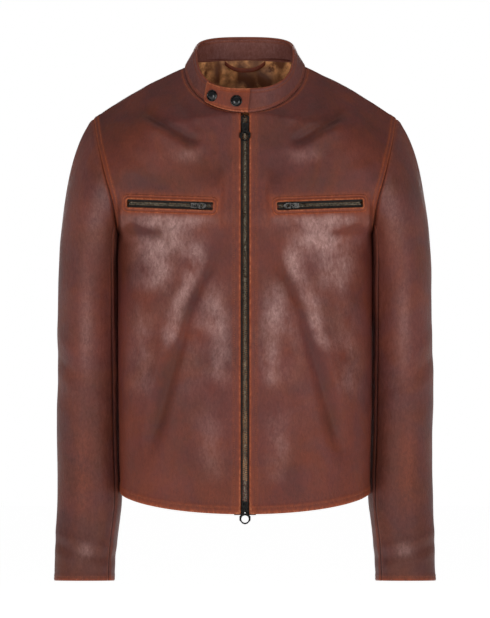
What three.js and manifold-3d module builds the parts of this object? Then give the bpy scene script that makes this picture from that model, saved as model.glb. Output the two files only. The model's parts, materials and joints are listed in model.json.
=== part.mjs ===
// A leather riding jacket as it stands on a body: leather panels, linings and facings as thin closed
// shells, a two-way front zip, two chest-pocket zips and a snap tab on a stand-up collar.
// Millimetres, +Z up. The wearer faces -Y and the wearer's left is +X. The origin is on the centre plane,
// level with the high shoulder points and midway through the depth of the shoulders.
import * as THREE from "three";
import { mergeVertices } from "three/addons/utils/BufferGeometryUtils.js";
import Module from "manifold-3d";

const wasm = await Module();
wasm.setup();

// ---------------------------------------------------------------- driving dimensions
const LEATHER = 1.6; // thickness of a panel's leather
const CLOTH = 1.0; // thickness of lining and zip tape as modelled
const GAP = 0.3; // daylight between pieces that touch
const LINING_DEPTH = 3.4; // outer leather face to lining

const NECK = { halfWidth: 89, centreY: -15, front: 83, back: 77, frontDrop: 68, napeRise: 8 };
const COLLAR_TOP = { halfWidth: 72, centreY: -18, front: 75, back: 69, frontZ: -32, sideZ: 26, backZ: 43 };
const COLLAR_TOP_POWER = 2.8;

const HEM_Z = -658; // lowest point of the front edge
const FRONT_TILT = 30 / 590; // how far the front edge leans out per millimetre down
const ZIP_TOP_Z = -73;
const ZIP_HALF_OPENING = 6.2; // front centre line to the placket's edge
const PLACKET_WIDTH = 10.8;
const PANEL_START = ZIP_HALF_OPENING + PLACKET_WIDTH + GAP;

const POCKET = { x: 110, z: -203, windowLength: 128, windowHeight: 12, frame: 7, turn: 8.5, droop: 2 };

const COLOURS = { leather: 0x6b3a2e, lining: 0x6a4524, tape: 0x2a2620, brass: 0x5b5648, black: 0x16181c };

// ---------------------------------------------------------------- curves through stations
const vector = (x, y, z) => new THREE.Vector3(x, y, z);

// Numbers at station t of a table of [station, ...numbers] rows, on a smooth curve through every row.
function along(rows, t) {
  let i = 0;
  while (i < rows.length - 2 && t > rows[i + 1][0]) i += 1;
  const a = rows[i];
  const b = rows[i + 1];
  const before = rows[i - 1] ?? a;
  const after = rows[i + 2] ?? b;
  const span = b[0] - a[0];
  const s = (t - a[0]) / span;
  return a.slice(1).map((_, k) => {
    const slopeA = ((b[k + 1] - before[k + 1]) / (b[0] - before[0])) * span;
    const slopeB = ((after[k + 1] - a[k + 1]) / (after[0] - a[0])) * span;
    return hermite(a[k + 1], slopeA, b[k + 1], slopeB, s);
  });
}

function hermite(p0, m0, p1, m1, s) {
  const s2 = s * s;
  const s3 = s2 * s;
  return (2 * s3 - 3 * s2 + 1) * p0 + (s3 - 2 * s2 + s) * m0 + (3 * s2 - 2 * s3) * p1 + (s3 - s2) * m1;
}

// A point on the row that leaves p0 along m0 and arrives at p1 along m1.
function rowPoint([x0, y0, z0], m0, [x1, y1, z1], m1, u) {
  return vector(
    hermite(x0, m0[0], x1, m1[0], u),
    hermite(y0, m0[1], y1, m1[1], u),
    hermite(z0, m0[2], z1, m1[2], u),
  );
}

const smooth = (low, high, x) => THREE.MathUtils.smoothstep(x, low, high);

// ---------------------------------------------------------------- neckline and collar
// Angle 0 is the front centre, 90 the wearer's left shoulder and 180 the nape.
function neckline(degrees) {
  const angle = THREE.MathUtils.degToRad(degrees);
  const c = Math.cos(angle);
  const depth = c > 0 ? NECK.front : NECK.back;
  const rise = c > 0 ? -NECK.frontDrop * c : -NECK.napeRise * c;
  return vector(NECK.halfWidth * Math.sin(angle), NECK.centreY - depth * c, rise);
}

function collarTop(degrees) {
  const angle = THREE.MathUtils.degToRad(degrees);
  const power = 2 / COLLAR_TOP_POWER;
  const s = Math.sign(Math.sin(angle)) * Math.abs(Math.sin(angle)) ** power;
  const c = Math.sign(Math.cos(angle)) * Math.abs(Math.cos(angle)) ** power;
  const depth = c > 0 ? COLLAR_TOP.front : COLLAR_TOP.back;
  const end = c > 0 ? COLLAR_TOP.frontZ : COLLAR_TOP.backZ;
  return vector(
    COLLAR_TOP.halfWidth * s,
    COLLAR_TOP.centreY - depth * c,
    THREE.MathUtils.lerp(COLLAR_TOP.sideZ, end, Math.abs(c)),
  );
}

// The collar's outer face: around in degrees, up from 0 at the seam to 1 at the top edge.
const COLLAR_LIFT = 1.2; // the band starts this far above the neck seam
function collarFace(degrees, up) {
  const foot = neckline(degrees).add(vector(0, 0, COLLAR_LIFT));
  return foot.lerp(collarTop(degrees), up);
}

// ---------------------------------------------------------------- body surfaces, wearer's left half
const frontLineY = (z) => -(NECK.front - NECK.centreY) + (z + NECK.frontDrop) * FRONT_TILT;
const ARMPIT = 0.6; // station of the armpit on the edges below

// Front: z and tangent of the centre edge, station by station from the hem to the neck.
const FRONT_CENTRE = [
  [0.0, -658, 360, 0, 3],
  [0.2, -530, 362, 0, 0],
  [0.4, -400, 364, 0, 0],
  [0.6, -275, 366, 0, 0],
  [0.75, -180, 366, 0, 0],
  [0.88, -68, 320, -10, -25],
];
const FRONT_NECK = 0.88; // above this station the inner edge follows the neckline
const FRONT_NECK_ROWS = [
  [0.88, 11, 320, -10, -25],
  [0.92, 36, 240, -22, -45],
  [0.96, 63, 175, -14, -62],
  [1.0, 90, 142, 11, -62],
];
// Side seam: point and tangent where the front's rows end.
const SIDE_SEAM = [
  [0.0, 184, -20, -627, 0, 235, 26],
  [0.2, 186, -20, -508, 0, 230, 8],
  [0.4, 187, -18, -380, 0, 228, 6],
  [0.6, 188, -4, -245, 0, 225, 6],
];
const FRONT_ARMHOLE = [
  [0.6, 188, -4, -245, 0, 225, 6],
  [0.68, 189, -56, -228, 40, 130, 0],
  [0.75, 195, -80, -197, 120, 70, -5],
  [0.82, 205, -80, -162, 140, 60, -15],
  [0.88, 212, -67, -134, 140, 62, -40],
  [0.94, 218, -41, -107, 132, 56, -66],
  [1.0, 223, -4, -76, 128, 11, -94],
];
const BACK_ARMHOLE = [
  [0.6, 188, -4, -245, 25, -235, 6],
  [0.68, 189, 38, -228, 50, -170, 0],
  [0.75, 195, 60, -197, 90, -115, -5],
  [0.82, 205, 62, -162, 120, -90, -15],
  [0.88, 212, 52, -134, 130, -80, -35],
  [0.94, 218, 32, -107, 128, -60, -60],
  [1.0, 223, -4, -76, 128, 11, -94],
];
// Back: y, z and tangent of the centre line up to the nape.
const BACK_CENTRE = [
  [0.0, 116, -648, 330, 0, 0],
  [0.2, 106, -530, 332, 0, 0],
  [0.4, 99, -395, 334, 0, 0],
  [0.6, 110, -255, 338, 0, 0],
  [0.75, 116, -160, 330, 0, 0],
  [0.82, 112, -108, 310, 0, 0],
  [1.0, 62, 8, 200, 0, 0],
];
const SHOULDER_START = [142, 11, -62]; // tangent of the shoulder seam at the neck
const BACK_YOKE = 0.82; // above this station the back runs up to the neckline and the shoulder seam
const NECK_SHARE = 0.362; // share of the top edge that is neckline

function frontEdge(v) {
  return along(v <= ARMPIT ? SIDE_SEAM : FRONT_ARMHOLE, v);
}

function backEdge(v) {
  if (v > ARMPIT) return along(BACK_ARMHOLE, v);
  const [x, y, z, mx, my, mz] = along(SIDE_SEAM, v);
  return [x, y, z, mx + 25, -my * 1.05, mz];
}

function frontFace(u, v) {
  const edge = frontEdge(v);
  if (v <= FRONT_NECK) {
    const [z, ...tangent] = along(FRONT_CENTRE, v);
    return rowPoint([PANEL_START, frontLineY(z), z], tangent, edge, edge.slice(3), u);
  }
  const [degrees, ...tangent] = along(FRONT_NECK_ROWS, v);
  return rowPoint(neckline(degrees).toArray(), tangent, edge, edge.slice(3), u);
}

function backRow(u, v) {
  const [y, z, ...tangent] = along(BACK_CENTRE, v);
  const edge = backEdge(v);
  return rowPoint([0, y, z], tangent, edge, edge.slice(3), u);
}

function backTop(u) {
  if (u < NECK_SHARE) return neckline(180 - (90 * u) / NECK_SHARE);
  const seam = (u - NECK_SHARE) / (1 - NECK_SHARE);
  const tip = along(BACK_ARMHOLE, 1);
  return rowPoint(neckline(90).toArray(), SHOULDER_START, tip, tip.slice(3), seam);
}

function backFace(u, v) {
  const side = Math.abs(u);
  const mirror = u < 0 ? -1 : 1;
  let point;
  if (v <= BACK_YOKE) {
    point = backRow(side, v);
  } else {
    const w = (v - BACK_YOKE) / (1 - BACK_YOKE);
    point = backRow(side, BACK_YOKE).lerp(backTop(side), w);
    const centre = backRow(0, v).sub(backRow(0, BACK_YOKE).lerp(backTop(0), w));
    const edge = vector(...backEdge(v).slice(0, 3)).sub(backRow(1, BACK_YOKE).lerp(backTop(1), w));
    point.addScaledVector(centre, 1 - side).addScaledVector(edge, side);
  }
  return point.setX(point.x * mirror);
}

// ---------------------------------------------------------------- sleeve surface, wearer's left
// Around: 0 is the shoulder tip or outside, 0.25 the front, 0.5 the inside, 0.75 the back.
const CAP = 0.34; // share of the sleeve's length that is the cap
const ARM = [
  // station, centre x, y, z, half-width, half-depth
  [0.34, 233, 12, -330, 42, 68],
  [0.48, 233.5, 18, -420, 43.2, 62],
  [0.66, 232, 22, -535, 45, 56],
  [0.82, 230, 20, -640, 47, 51],
  [0.91, 234.5, 15, -700, 45, 47],
  [1.0, 237, 12, -753, 44.2, 45],
];

function armRing(around, s) {
  const [x, y, z, halfWidth, halfDepth] = along(ARM, s);
  const angle = 2 * Math.PI * around;
  return vector(x + halfWidth * Math.cos(angle), y - halfDepth * Math.sin(angle), z);
}

function sleeveFace(around, s) {
  const turn = ((around % 1) + 1) % 1;
  if (s >= CAP) return armRing(turn, s);
  const v = turn < 0.5 ? 1 - 2 * (1 - ARMPIT) * turn : 1 - 2 * (1 - ARMPIT) * (1 - turn);
  const start = along(turn < 0.5 ? FRONT_ARMHOLE : BACK_ARMHOLE, v).slice(0, 3);
  const end = armRing(turn, CAP).toArray();
  const c = Math.cos(2 * Math.PI * turn);
  const front = Math.sin(2 * Math.PI * turn);
  const leave = [74 + 36 * c, -28 * front, -66 - 39 * c];
  const arrive = [0, 0, -(180 + 100 * c)];
  return rowPoint(start, leave, end, arrive, s / CAP);
}

// ---------------------------------------------------------------- the pocket's flat patch
const mirrorX = (side) => (point) => (side < 0 ? point.setX(-point.x) : point);

const pocketFrame = (() => {
  // The zip is stiff, so the chest lies flat around it: find where it sits on the front face.
  let best = { miss: Infinity };
  for (let u = 0.2; u < 0.9; u += 0.005) {
    for (let v = 0.6; v < 0.85; v += 0.0025) {
      const point = frontFace(u, v);
      const miss = Math.hypot(point.x - POCKET.x, point.z - POCKET.z);
      if (miss < best.miss) best = { miss, point };
    }
  }
  const turn = THREE.MathUtils.degToRad(POCKET.turn);
  const droop = THREE.MathUtils.degToRad(POCKET.droop);
  const rotation = new THREE.Euler(THREE.MathUtils.degToRad(-2), droop * -1, turn, "ZXY");
  const quaternion = new THREE.Quaternion().setFromEuler(rotation);
  return { origin: best.point.add(vector(0, 3, 0)), quaternion };
})();

const PATCH = { flatX: 71.5, fadeX: 81, flatZ: 15, fadeZ: 60 };
function toPocket(point) {
  const inverse = pocketFrame.quaternion.clone().invert();
  return point.clone().sub(pocketFrame.origin).applyQuaternion(inverse);
}

function patchShare(local) {
  const across = 1 - smooth(PATCH.flatX, PATCH.fadeX, Math.abs(local.x));
  const up = 1 - smooth(PATCH.flatZ, PATCH.fadeZ, Math.abs(local.z));
  return across * up;
}

function chestFace(u, v) {
  const point = frontFace(u, v);
  const local = toPocket(point);
  local.y *= 1 - patchShare(local);
  return local.applyQuaternion(pocketFrame.quaternion).add(pocketFrame.origin);
}

// ---------------------------------------------------------------- thin closed shells
function normalAt(face, u, v, step) {
  const du = face(u + step, v).sub(face(u - step, v));
  const dv = face(u, v + step).sub(face(u, v - step));
  return du.cross(dv).normalize();
}

// A closed shell over a face, from u[0] to u[1] and v[0] to v[1]. v may hold functions of u. outset and
// thickness are millimetres along the outward normal, and outset may be a function of the point. rows
// lists the shares of v where rows lie, flip turns the normal round and ring closes the shell around u.
function shell(face, { u, v, across, up, rows, outset = 0, thickness = LEATHER, flip = false, ring = false }) {
  const shares = rows ?? Array.from({ length: up + 1 }, (_, j) => j / up);
  const last = shares.length - 1;
  const columns = ring ? across : across + 1;
  const positions = [];
  const layers = [[], []];
  const limit = (side, at) => (typeof v[side] === "function" ? v[side](at) : v[side]);
  const step = 1e-3;
  for (let j = 0; j <= last; j += 1) {
    for (let i = 0; i < columns; i += 1) {
      const atU = THREE.MathUtils.lerp(u[0], u[1], i / across);
      const [low, high] = [limit(0, atU), limit(1, atU)];
      const atV = THREE.MathUtils.lerp(low, high, shares[j]);
      const point = face(atU, atV);
      const safeU = ring ? atU : THREE.MathUtils.clamp(atU, u[0] + step, u[1] - step);
      const safeV = THREE.MathUtils.clamp(atV, low + step, high - step);
      const normal = normalAt(face, safeU, safeV, step).multiplyScalar(flip ? -1 : 1);
      const out = typeof outset === "function" ? outset(point) : outset;
      for (const [layer, offset] of [[0, out], [1, out - thickness]]) {
        const placed = point.clone().addScaledVector(normal, offset);
        layers[layer].push(positions.length / 3);
        positions.push(placed.x, placed.y, placed.z);
      }
    }
  }
  const indices = [];
  const quad = (a, b, c, d) => indices.push(a, b, c, a, c, d);
  const id = (layer, i, j) => layers[layer][j * columns + (i % columns)];
  for (let j = 0; j < last; j += 1) {
    for (let i = 0; i < across; i += 1) {
      quad(id(0, i, j), id(0, i + 1, j), id(0, i + 1, j + 1), id(0, i, j + 1));
      quad(id(1, i, j), id(1, i, j + 1), id(1, i + 1, j + 1), id(1, i + 1, j));
    }
  }
  for (let i = 0; i < across; i += 1) {
    quad(id(1, i, 0), id(1, i + 1, 0), id(0, i + 1, 0), id(0, i, 0));
    quad(id(0, i, last), id(0, i + 1, last), id(1, i + 1, last), id(1, i, last));
  }
  for (let j = 0; j < last && !ring; j += 1) {
    quad(id(0, 0, j), id(0, 0, j + 1), id(1, 0, j + 1), id(1, 0, j));
    quad(id(1, across, j), id(1, across, j + 1), id(0, across, j + 1), id(0, across, j));
  }
  return facingOut(positions, indices);
}

// A geometry whose faces point out of the closed body.
function facingOut(positions, indices) {
  let sixVolumes = 0;
  const corner = (i) => vector(positions[3 * i], positions[3 * i + 1], positions[3 * i + 2]);
  for (let i = 0; i < indices.length; i += 3) {
    const [a, b, c] = [corner(indices[i]), corner(indices[i + 1]), corner(indices[i + 2])];
    sixVolumes += a.dot(b.cross(c));
  }
  if (sixVolumes < 0) {
    for (let i = 0; i < indices.length; i += 3) {
      [indices[i + 1], indices[i + 2]] = [indices[i + 2], indices[i + 1]];
    }
  }
  const geometry = new THREE.BufferGeometry();
  geometry.setAttribute("position", new THREE.Float32BufferAttribute(positions, 3));
  geometry.setIndex(indices);
  geometry.computeVertexNormals();
  return geometry;
}

function mirrored(geometry) {
  const positions = Array.from(geometry.getAttribute("position").array);
  for (let i = 0; i < positions.length; i += 3) positions[i] *= -1;
  return facingOut(positions, Array.from(geometry.index.array));
}

// ---------------------------------------------------------------- booleans
function toSolid(geometry) {
  const bare = geometry.clone();
  bare.deleteAttribute("normal");
  bare.deleteAttribute("uv");
  const merged = mergeVertices(bare, 1e-4);
  return new wasm.Manifold(
    new wasm.Mesh({
      numProp: 3,
      vertProperties: merged.getAttribute("position").array,
      triVerts: new Uint32Array(merged.index.array),
    }),
  );
}

function toGeometry(solid) {
  const mesh = solid.getMesh();
  const positions = [];
  for (let i = 0; i < mesh.numVert; i += 1) {
    positions.push(...mesh.vertProperties.subarray(i * mesh.numProp, i * mesh.numProp + 3));
  }
  return facingOut(positions, Array.from(mesh.triVerts));
}

const cut = (geometry, ...tools) =>
  toGeometry(tools.reduce((solid, tool) => solid.subtract(toSolid(tool)), toSolid(geometry)));
const join = (...geometries) => toGeometry(geometries.map(toSolid).reduce((a, b) => a.add(b)));

// A box from its low and high corners.
function block([x0, y0, z0], [x1, y1, z1]) {
  return new THREE.BoxGeometry(x1 - x0, y1 - y0, z1 - z0).translate(
    (x0 + x1) / 2,
    (y0 + y1) / 2,
    (z0 + z1) / 2,
  );
}

// ---------------------------------------------------------------- the assembly
const jacket = new THREE.Group();
const materials = {
  leather: new THREE.MeshStandardMaterial({ color: COLOURS.leather, roughness: 0.45, metalness: 0 }),
  lining: new THREE.MeshStandardMaterial({ color: COLOURS.lining, roughness: 0.4, metalness: 0 }),
  tape: new THREE.MeshStandardMaterial({ color: COLOURS.tape, roughness: 0.8, metalness: 0 }),
  brass: new THREE.MeshStandardMaterial({ color: COLOURS.brass, roughness: 0.35, metalness: 1 }),
  black: new THREE.MeshStandardMaterial({ color: COLOURS.black, roughness: 0.25, metalness: 1 }),
};

function add(name, geometry, material, parent = jacket) {
  const mesh = new THREE.Mesh(geometry, materials[material]);
  mesh.name = name;
  parent.add(mesh);
  return mesh;
}

// Adds the wearer's left piece and its mirror image.
function addPair(name, geometry, material, parent = jacket) {
  add(`${name}_left`, geometry, material, parent);
  add(`${name}_right`, mirrored(geometry), material, parent);
}

// ---------------------------------------------------------------- leather panels
const SIDE_GAP = 0.004; // share of a row left open at the side seam and armhole
const inPocketFrame = (geometry) =>
  geometry.applyQuaternion(pocketFrame.quaternion).translate(...pocketFrame.origin.toArray());

const pocketCut = block(
  [-POCKET.windowLength / 2 - 1.5, -8, -POCKET.windowHeight / 2 - 1.5],
  [POCKET.windowLength / 2 + 1.5, 8, POCKET.windowHeight / 2 + 1.5],
);
const FRONT_ROWS = [
  0, 0.1, 0.2, 0.3, 0.4, 0.5, 0.57, 0.62, 0.66, 0.68, 0.695, 0.71, 0.725, 0.74, 0.76, 0.8, 0.84, 0.88,
  0.92, 0.96, 1,
];
const frontPanel = shell(chestFace, { u: [0, 1 - SIDE_GAP], v: [0, 0.998], across: 14, rows: FRONT_ROWS });
addPair("front_panel", cut(frontPanel, inPocketFrame(pocketCut)), "leather");

add(
  "back_panel",
  shell(backFace, {
    u: [-1 + SIDE_GAP, 1 - SIDE_GAP],
    v: [0, 0.996],
    across: 22,
    up: 20,
    flip: true,
  }),
  "leather",
);

const FRONT_SEAM = 0.4; // where the sleeve's two pieces meet, around the sleeve
const BACK_SEAM = 0.64;
const SEAM_AROUND = 0.0018;
// The sleeve starts a little below the armhole, farther at the armpit where the pieces meet at an angle.
const sleeveStart = (around) => 0.004 + 0.026 * ((1 - Math.cos(2 * Math.PI * around)) / 2) ** 3;
addPair(
  "sleeve_upper",
  shell(sleeveFace, {
    u: [BACK_SEAM - 1 + SEAM_AROUND, FRONT_SEAM - SEAM_AROUND],
    v: [sleeveStart, 1],
    across: 16,
    up: 16,
  }),
  "leather",
);
addPair(
  "sleeve_under",
  shell(sleeveFace, {
    u: [FRONT_SEAM + SEAM_AROUND, BACK_SEAM - SEAM_AROUND],
    v: [sleeveStart, 1],
    across: 7,
    up: 16,
  }),
  "leather",
);

// ---------------------------------------------------------------- facings and linings
const FACING_DEPTH = 3.6;
const FACING_SHARE = 0.13; // share of a front row that the inside facing covers
const HEM_SHARE = 0.07;
const CUFF_SHARE = 0.05;

// The front lining stands off the leather where the pocket bag lies behind it.
function frontLiningOut(point) {
  const local = toPocket(point);
  const across = 1 - smooth(78, 104, Math.abs(local.x));
  const up = (1 - smooth(16, 44, local.z)) * smooth(-215, -170, local.z);
  return -LINING_DEPTH - 8.4 * across * up;
}

addPair(
  "front_facing",
  shell(chestFace, {
    u: [0, FACING_SHARE],
    v: [0, 0.985],
    across: 2,
    up: 16,
    outset: -FACING_DEPTH,
    thickness: 1.4,
  }),
  "leather",
);
addPair(
  "hem_facing",
  shell(chestFace, {
    u: [FACING_SHARE + 0.006, 0.99],
    v: [0, HEM_SHARE],
    across: 8,
    up: 1,
    outset: -FACING_DEPTH,
    thickness: 1.4,
  }),
  "leather",
);
add(
  "hem_facing_back",
  shell(backFace, {
    u: [-0.985, 0.985],
    v: [0, HEM_SHARE],
    across: 20,
    up: 1,
    outset: -FACING_DEPTH,
    thickness: 1.4,
    flip: true,
  }),
  "leather",
);
addPair(
  "front_lining",
  shell(chestFace, {
    u: [FACING_SHARE + 0.012, 0.975],
    v: [HEM_SHARE + 0.004, 0.975],
    across: 10,
    up: 18,
    outset: frontLiningOut,
    thickness: CLOTH,
  }),
  "lining",
);
add(
  "back_lining",
  shell(backFace, {
    u: [-0.97, 0.97],
    v: [HEM_SHARE + 0.004, 0.975],
    across: 20,
    up: 16,
    outset: (point) => -LINING_DEPTH - 4.5 * smooth(-340, -260, point.z),
    thickness: CLOTH,
    flip: true,
  }),
  "lining",
);
addPair(
  "cuff_facing",
  shell(sleeveFace, {
    u: [0, 1],
    v: [1 - CUFF_SHARE, 1],
    across: 18,
    up: 1,
    outset: -FACING_DEPTH,
    thickness: 1.4,
    ring: true,
  }),
  "leather",
);
addPair(
  "sleeve_lining",
  shell(sleeveFace, {
    u: [0, 1],
    v: [(around) => 0.075 + 0.03 * Math.cos(2 * Math.PI * around), 1 - CUFF_SHARE - 0.002],
    across: 20,
    up: 12,
    outset: (point) => -LINING_DEPTH - 4 * smooth(-280, -190, point.z),
    thickness: CLOTH,
    ring: true,
  }),
  "lining",
);
addPair(
  "pocket_bag",
  shell(chestFace, {
    u: [0.15, 0.66],
    v: [0.46, 0.712],
    across: 6,
    up: 8,
    outset: -5.6,
    thickness: 2.4,
  }),
  "lining",
);

// ---------------------------------------------------------------- collar
const COLLAR_END = 0.8; // degrees short of the front centre
const collar = { u: [COLLAR_END, 360 - COLLAR_END], across: 44, up: 2 };
add("collar_band", shell(collarFace, { ...collar, v: [0.04, 1] }), "leather");
add(
  "collar_facing",
  shell(collarFace, { ...collar, v: [0.02, 0.985], outset: -2, thickness: 1.4 }),
  "leather",
);

// The tab is sewn to the band just past the front edge and snaps down over the other end.
const TAB = { from: 2.6, to: -41, lift: 3.6, thickness: 1.6 };
add(
  "collar_tab",
  shell(collarFace, {
    u: [TAB.to, TAB.from],
    v: [0.03, 0.96],
    across: 16,
    up: 2,
    outset: TAB.lift + TAB.thickness,
    thickness: TAB.thickness,
  }),
  "leather",
);

// A frame on the collar's face with z along the outward normal.
function onCollar(geometry, degrees, up) {
  const normal = normalAt(collarFace, degrees, up, 1e-3);
  const turn = new THREE.Quaternion().setFromUnitVectors(vector(0, 0, 1), normal);
  return geometry.applyQuaternion(turn).translate(...collarFace(degrees, up).toArray());
}

function turned(points, segments) {
  const profile = points.map(([r, z]) => new THREE.Vector2(r, z));
  const geometry = new THREE.LatheGeometry(profile, segments).rotateX(Math.PI / 2);
  const solid = mergeVertices(geometry.deleteAttribute("uv").deleteAttribute("normal"), 1e-4);
  return facingOut(Array.from(solid.getAttribute("position").array), Array.from(solid.index.array));
}
const SNAP_ANGLES = [-6.6, -31.5];
const tabFace = TAB.lift + TAB.thickness;
SNAP_ANGLES.forEach((degrees, i) => {
  const up = 0.5;
  const cap = [[0, tabFace + 0.3], [7.6, tabFace + 0.3], [8.2, tabFace + 0.9], [6.6, tabFace + 1.9], [0, tabFace + 2.4]];
  const socket = [[2.7, 1.4], [5.6, 1.4], [5.6, TAB.lift - 0.35], [2.7, TAB.lift - 0.35], [2.7, 1.4]];
  const stud = [[0, 0.35], [5.4, 0.35], [5.4, 0.9], [1.6, 0.9], [1.6, 3], [0, 3]];
  add(`snap_cap_${i + 1}`, onCollar(turned(cap, 20), degrees, up), "black");
  add(`snap_socket_${i + 1}`, onCollar(turned(socket, 16), degrees, up), "brass");
  add(`snap_stud_${i + 1}`, onCollar(turned(stud, 16), degrees, up), "brass");
});

// Hanger loop: a leather strip drooping between its two sewn ends inside the nape.
const LOOP = { halfSpan: 30, drop: 12, width: 6, y: 50, z: 8 };
function loopFace(u, v) {
  const x = LOOP.halfSpan * u;
  const sag = 1 - u * u;
  return vector(x, LOOP.y - 5 * sag, LOOP.z - LOOP.drop * sag + LOOP.width * (v - 0.5));
}
add("hanger_loop", shell(loopFace, { u: [-1, 1], v: [0, 1], across: 12, up: 1, thickness: 1.6 }), "leather");

// ---------------------------------------------------------------- front zip
// In the zip's frame x runs across, y into the jacket from the leather's face and z up the zip.
const zipFrame = {
  origin: vector(0, frontLineY(HEM_Z), HEM_Z),
  quaternion: new THREE.Quaternion().setFromAxisAngle(vector(1, 0, 0), -Math.atan(FRONT_TILT)),
};
const inZipFrame = (geometry) =>
  geometry.applyQuaternion(zipFrame.quaternion).translate(...zipFrame.origin.toArray());
const ZIP = { length: 583, slot: 0.8, strip: 3.0, pin: 8.5, tape: 16 };

addPair(
  "front_placket",
  inZipFrame(block([ZIP_HALF_OPENING, -1, 0], [ZIP_HALF_OPENING + PLACKET_WIDTH, 1.7, 586])),
  "leather",
);
addPair("zip_tape", inZipFrame(block([ZIP.strip + 0.3, 2.1, -1], [ZIP.tape, 2.9, 586])), "tape");
addPair("zip_teeth", inZipFrame(block([ZIP.slot, 0.9, ZIP.pin + 0.4], [ZIP.strip, 4.1, ZIP.length])), "brass");
addPair("zip_pin", inZipFrame(block([ZIP.slot, 1.2, -2], [ZIP.strip - 0.3, 3.8, ZIP.pin])), "brass");
addPair(
  "zip_top_stop",
  inZipFrame(block([ZIP.slot, 0.6, ZIP.length + 0.4], [ZIP.strip, 4.4, ZIP.length + 4.4])),
  "brass",
);

// A plate with an outline in x and z, from y0 to y1.
function plate(points, y0, y1, holes = []) {
  const shape = new THREE.Shape(points.map(([x, z]) => new THREE.Vector2(x, z)));
  shape.holes = holes;
  const geometry = new THREE.ExtrudeGeometry(shape, { depth: y1 - y0, bevelEnabled: false, curveSegments: 10 });
  return geometry.rotateX(Math.PI / 2).translate(0, y1, 0);
}

// A slider about its centre, mouth towards +z: two plates joined by a post, turned-in flanges and a lug
// that holds the pull. barZ is the height of the pull's bar.
function slider({ half, length, front, rear, flange, post, lug, barZ }) {
  const outline = [[-half, length / 2], [-half * 0.8, -length / 2], [half * 0.8, -length / 2], [half, length / 2]];
  const bits = [
    plate(outline, front[0], front[1]),
    plate(outline, rear[0], rear[1]),
    block([-post, front[1] - 0.2, length / 2 - 5], [post, rear[0] + 0.2, length / 2 - 1]),
  ];
  for (const side of [-1, 1]) {
    const [x0, x1] = [half * 0.8 - 1, half * 0.8].map((x) => x * side).sort((a, b) => a - b);
    bits.push(block([x0, front[1] - 0.2, -length / 2], [x1, flange[0], length / 2 - 5]));
    bits.push(block([x0, flange[1], -length / 2], [x1, rear[0] + 0.2, length / 2 - 5]));
  }
  const reach = front[0] - 2 * lug.radius - 1.2;
  bits.push(block([-lug.half, reach, barZ - lug.radius - 1], [lug.half, front[0] + 0.2, barZ + lug.radius + 1]));
  const bore = new THREE.CylinderGeometry(lug.radius, lug.radius, 10, 12).rotateZ(Math.PI / 2);
  bore.translate(0, reach + lug.radius + 0.6, barZ);
  return cut(join(...bits), bore);
}

// The height of the pull's bar in front of the leather's face.
const barY = ({ front, lug }) => front[0] - lug.radius - 0.6;

// A pull hanging towards -z from its bar at the origin: a ring with a pointed end.
function pull({ half, length, hole, slot, bar, thickness }) {
  const shoulder = -length * 0.4;
  const outline = [
    [-slot - 1.6, bar / 2], [-slot - 1.6, -3.4], [-half, shoulder], [-half, -length * 0.7], [-half * 0.45, -length * 0.94],
    [0, -length], [half * 0.45, -length * 0.94], [half, -length * 0.7], [half, shoulder], [slot + 1.6, -3.4],
    [slot + 1.6, bar / 2],
  ];
  const ring = new THREE.Path().absarc(0, -length * 0.6, hole, 0, 2 * Math.PI, true);
  const notch = new THREE.Path([
    new THREE.Vector2(-slot, -bar / 2), new THREE.Vector2(slot, -bar / 2),
    new THREE.Vector2(slot, -3.6), new THREE.Vector2(-slot, -3.6),
  ]);
  return toGeometry(toSolid(plate(outline, -thickness / 2, thickness / 2, [ring, notch])));
}

const MAIN_SLIDER = {
  half: 5.5, length: 16, front: [-1.4, 0.5], rear: [4.5, 5.7], flange: [1.7, 3.3], post: 0.5,
  lug: { half: 1.2, radius: 1.35 },
};
const MAIN_PULL = { half: 8.2, length: 20, hole: 5.4, slot: 1.7, bar: 1.3, thickness: 1.6 };
const TOP_SLIDER_Z = 568;
const BOTTOM_SLIDER_Z = 11;
const BOTTOM_BAR_Z = 5;
add(
  "top_slider",
  inZipFrame(slider({ ...MAIN_SLIDER, barZ: 0 }).translate(0, 0, TOP_SLIDER_Z)),
  "black",
);
add("top_pull", inZipFrame(pull(MAIN_PULL).translate(0, barY(MAIN_SLIDER), TOP_SLIDER_Z)), "black");
const bottomBar = BOTTOM_SLIDER_Z - BOTTOM_BAR_Z;
add(
  "bottom_slider",
  inZipFrame(
    slider({ ...MAIN_SLIDER, barZ: bottomBar }).rotateY(Math.PI).translate(0, 0, BOTTOM_SLIDER_Z),
  ),
  "black",
);
add(
  "bottom_pull",
  inZipFrame(pull(MAIN_PULL).translate(0, barY(MAIN_SLIDER), BOTTOM_BAR_Z)),
  "black",
);

// ---------------------------------------------------------------- chest-pocket zips
// In the pocket's frame x runs along the zip, y into the jacket and z up; the closed end is inward, at -x.
const halfWindow = [POCKET.windowLength / 2, POCKET.windowHeight / 2];
const welt = cut(
  block(
    [-halfWindow[0] - POCKET.frame, -2, -halfWindow[1] - POCKET.frame],
    [halfWindow[0] + POCKET.frame, -0.4, halfWindow[1] + POCKET.frame],
  ),
  block([-halfWindow[0], -4, -halfWindow[1]], [halfWindow[0], 4, halfWindow[1]]),
);
addPair("pocket_welt", inPocketFrame(welt), "leather");

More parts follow.
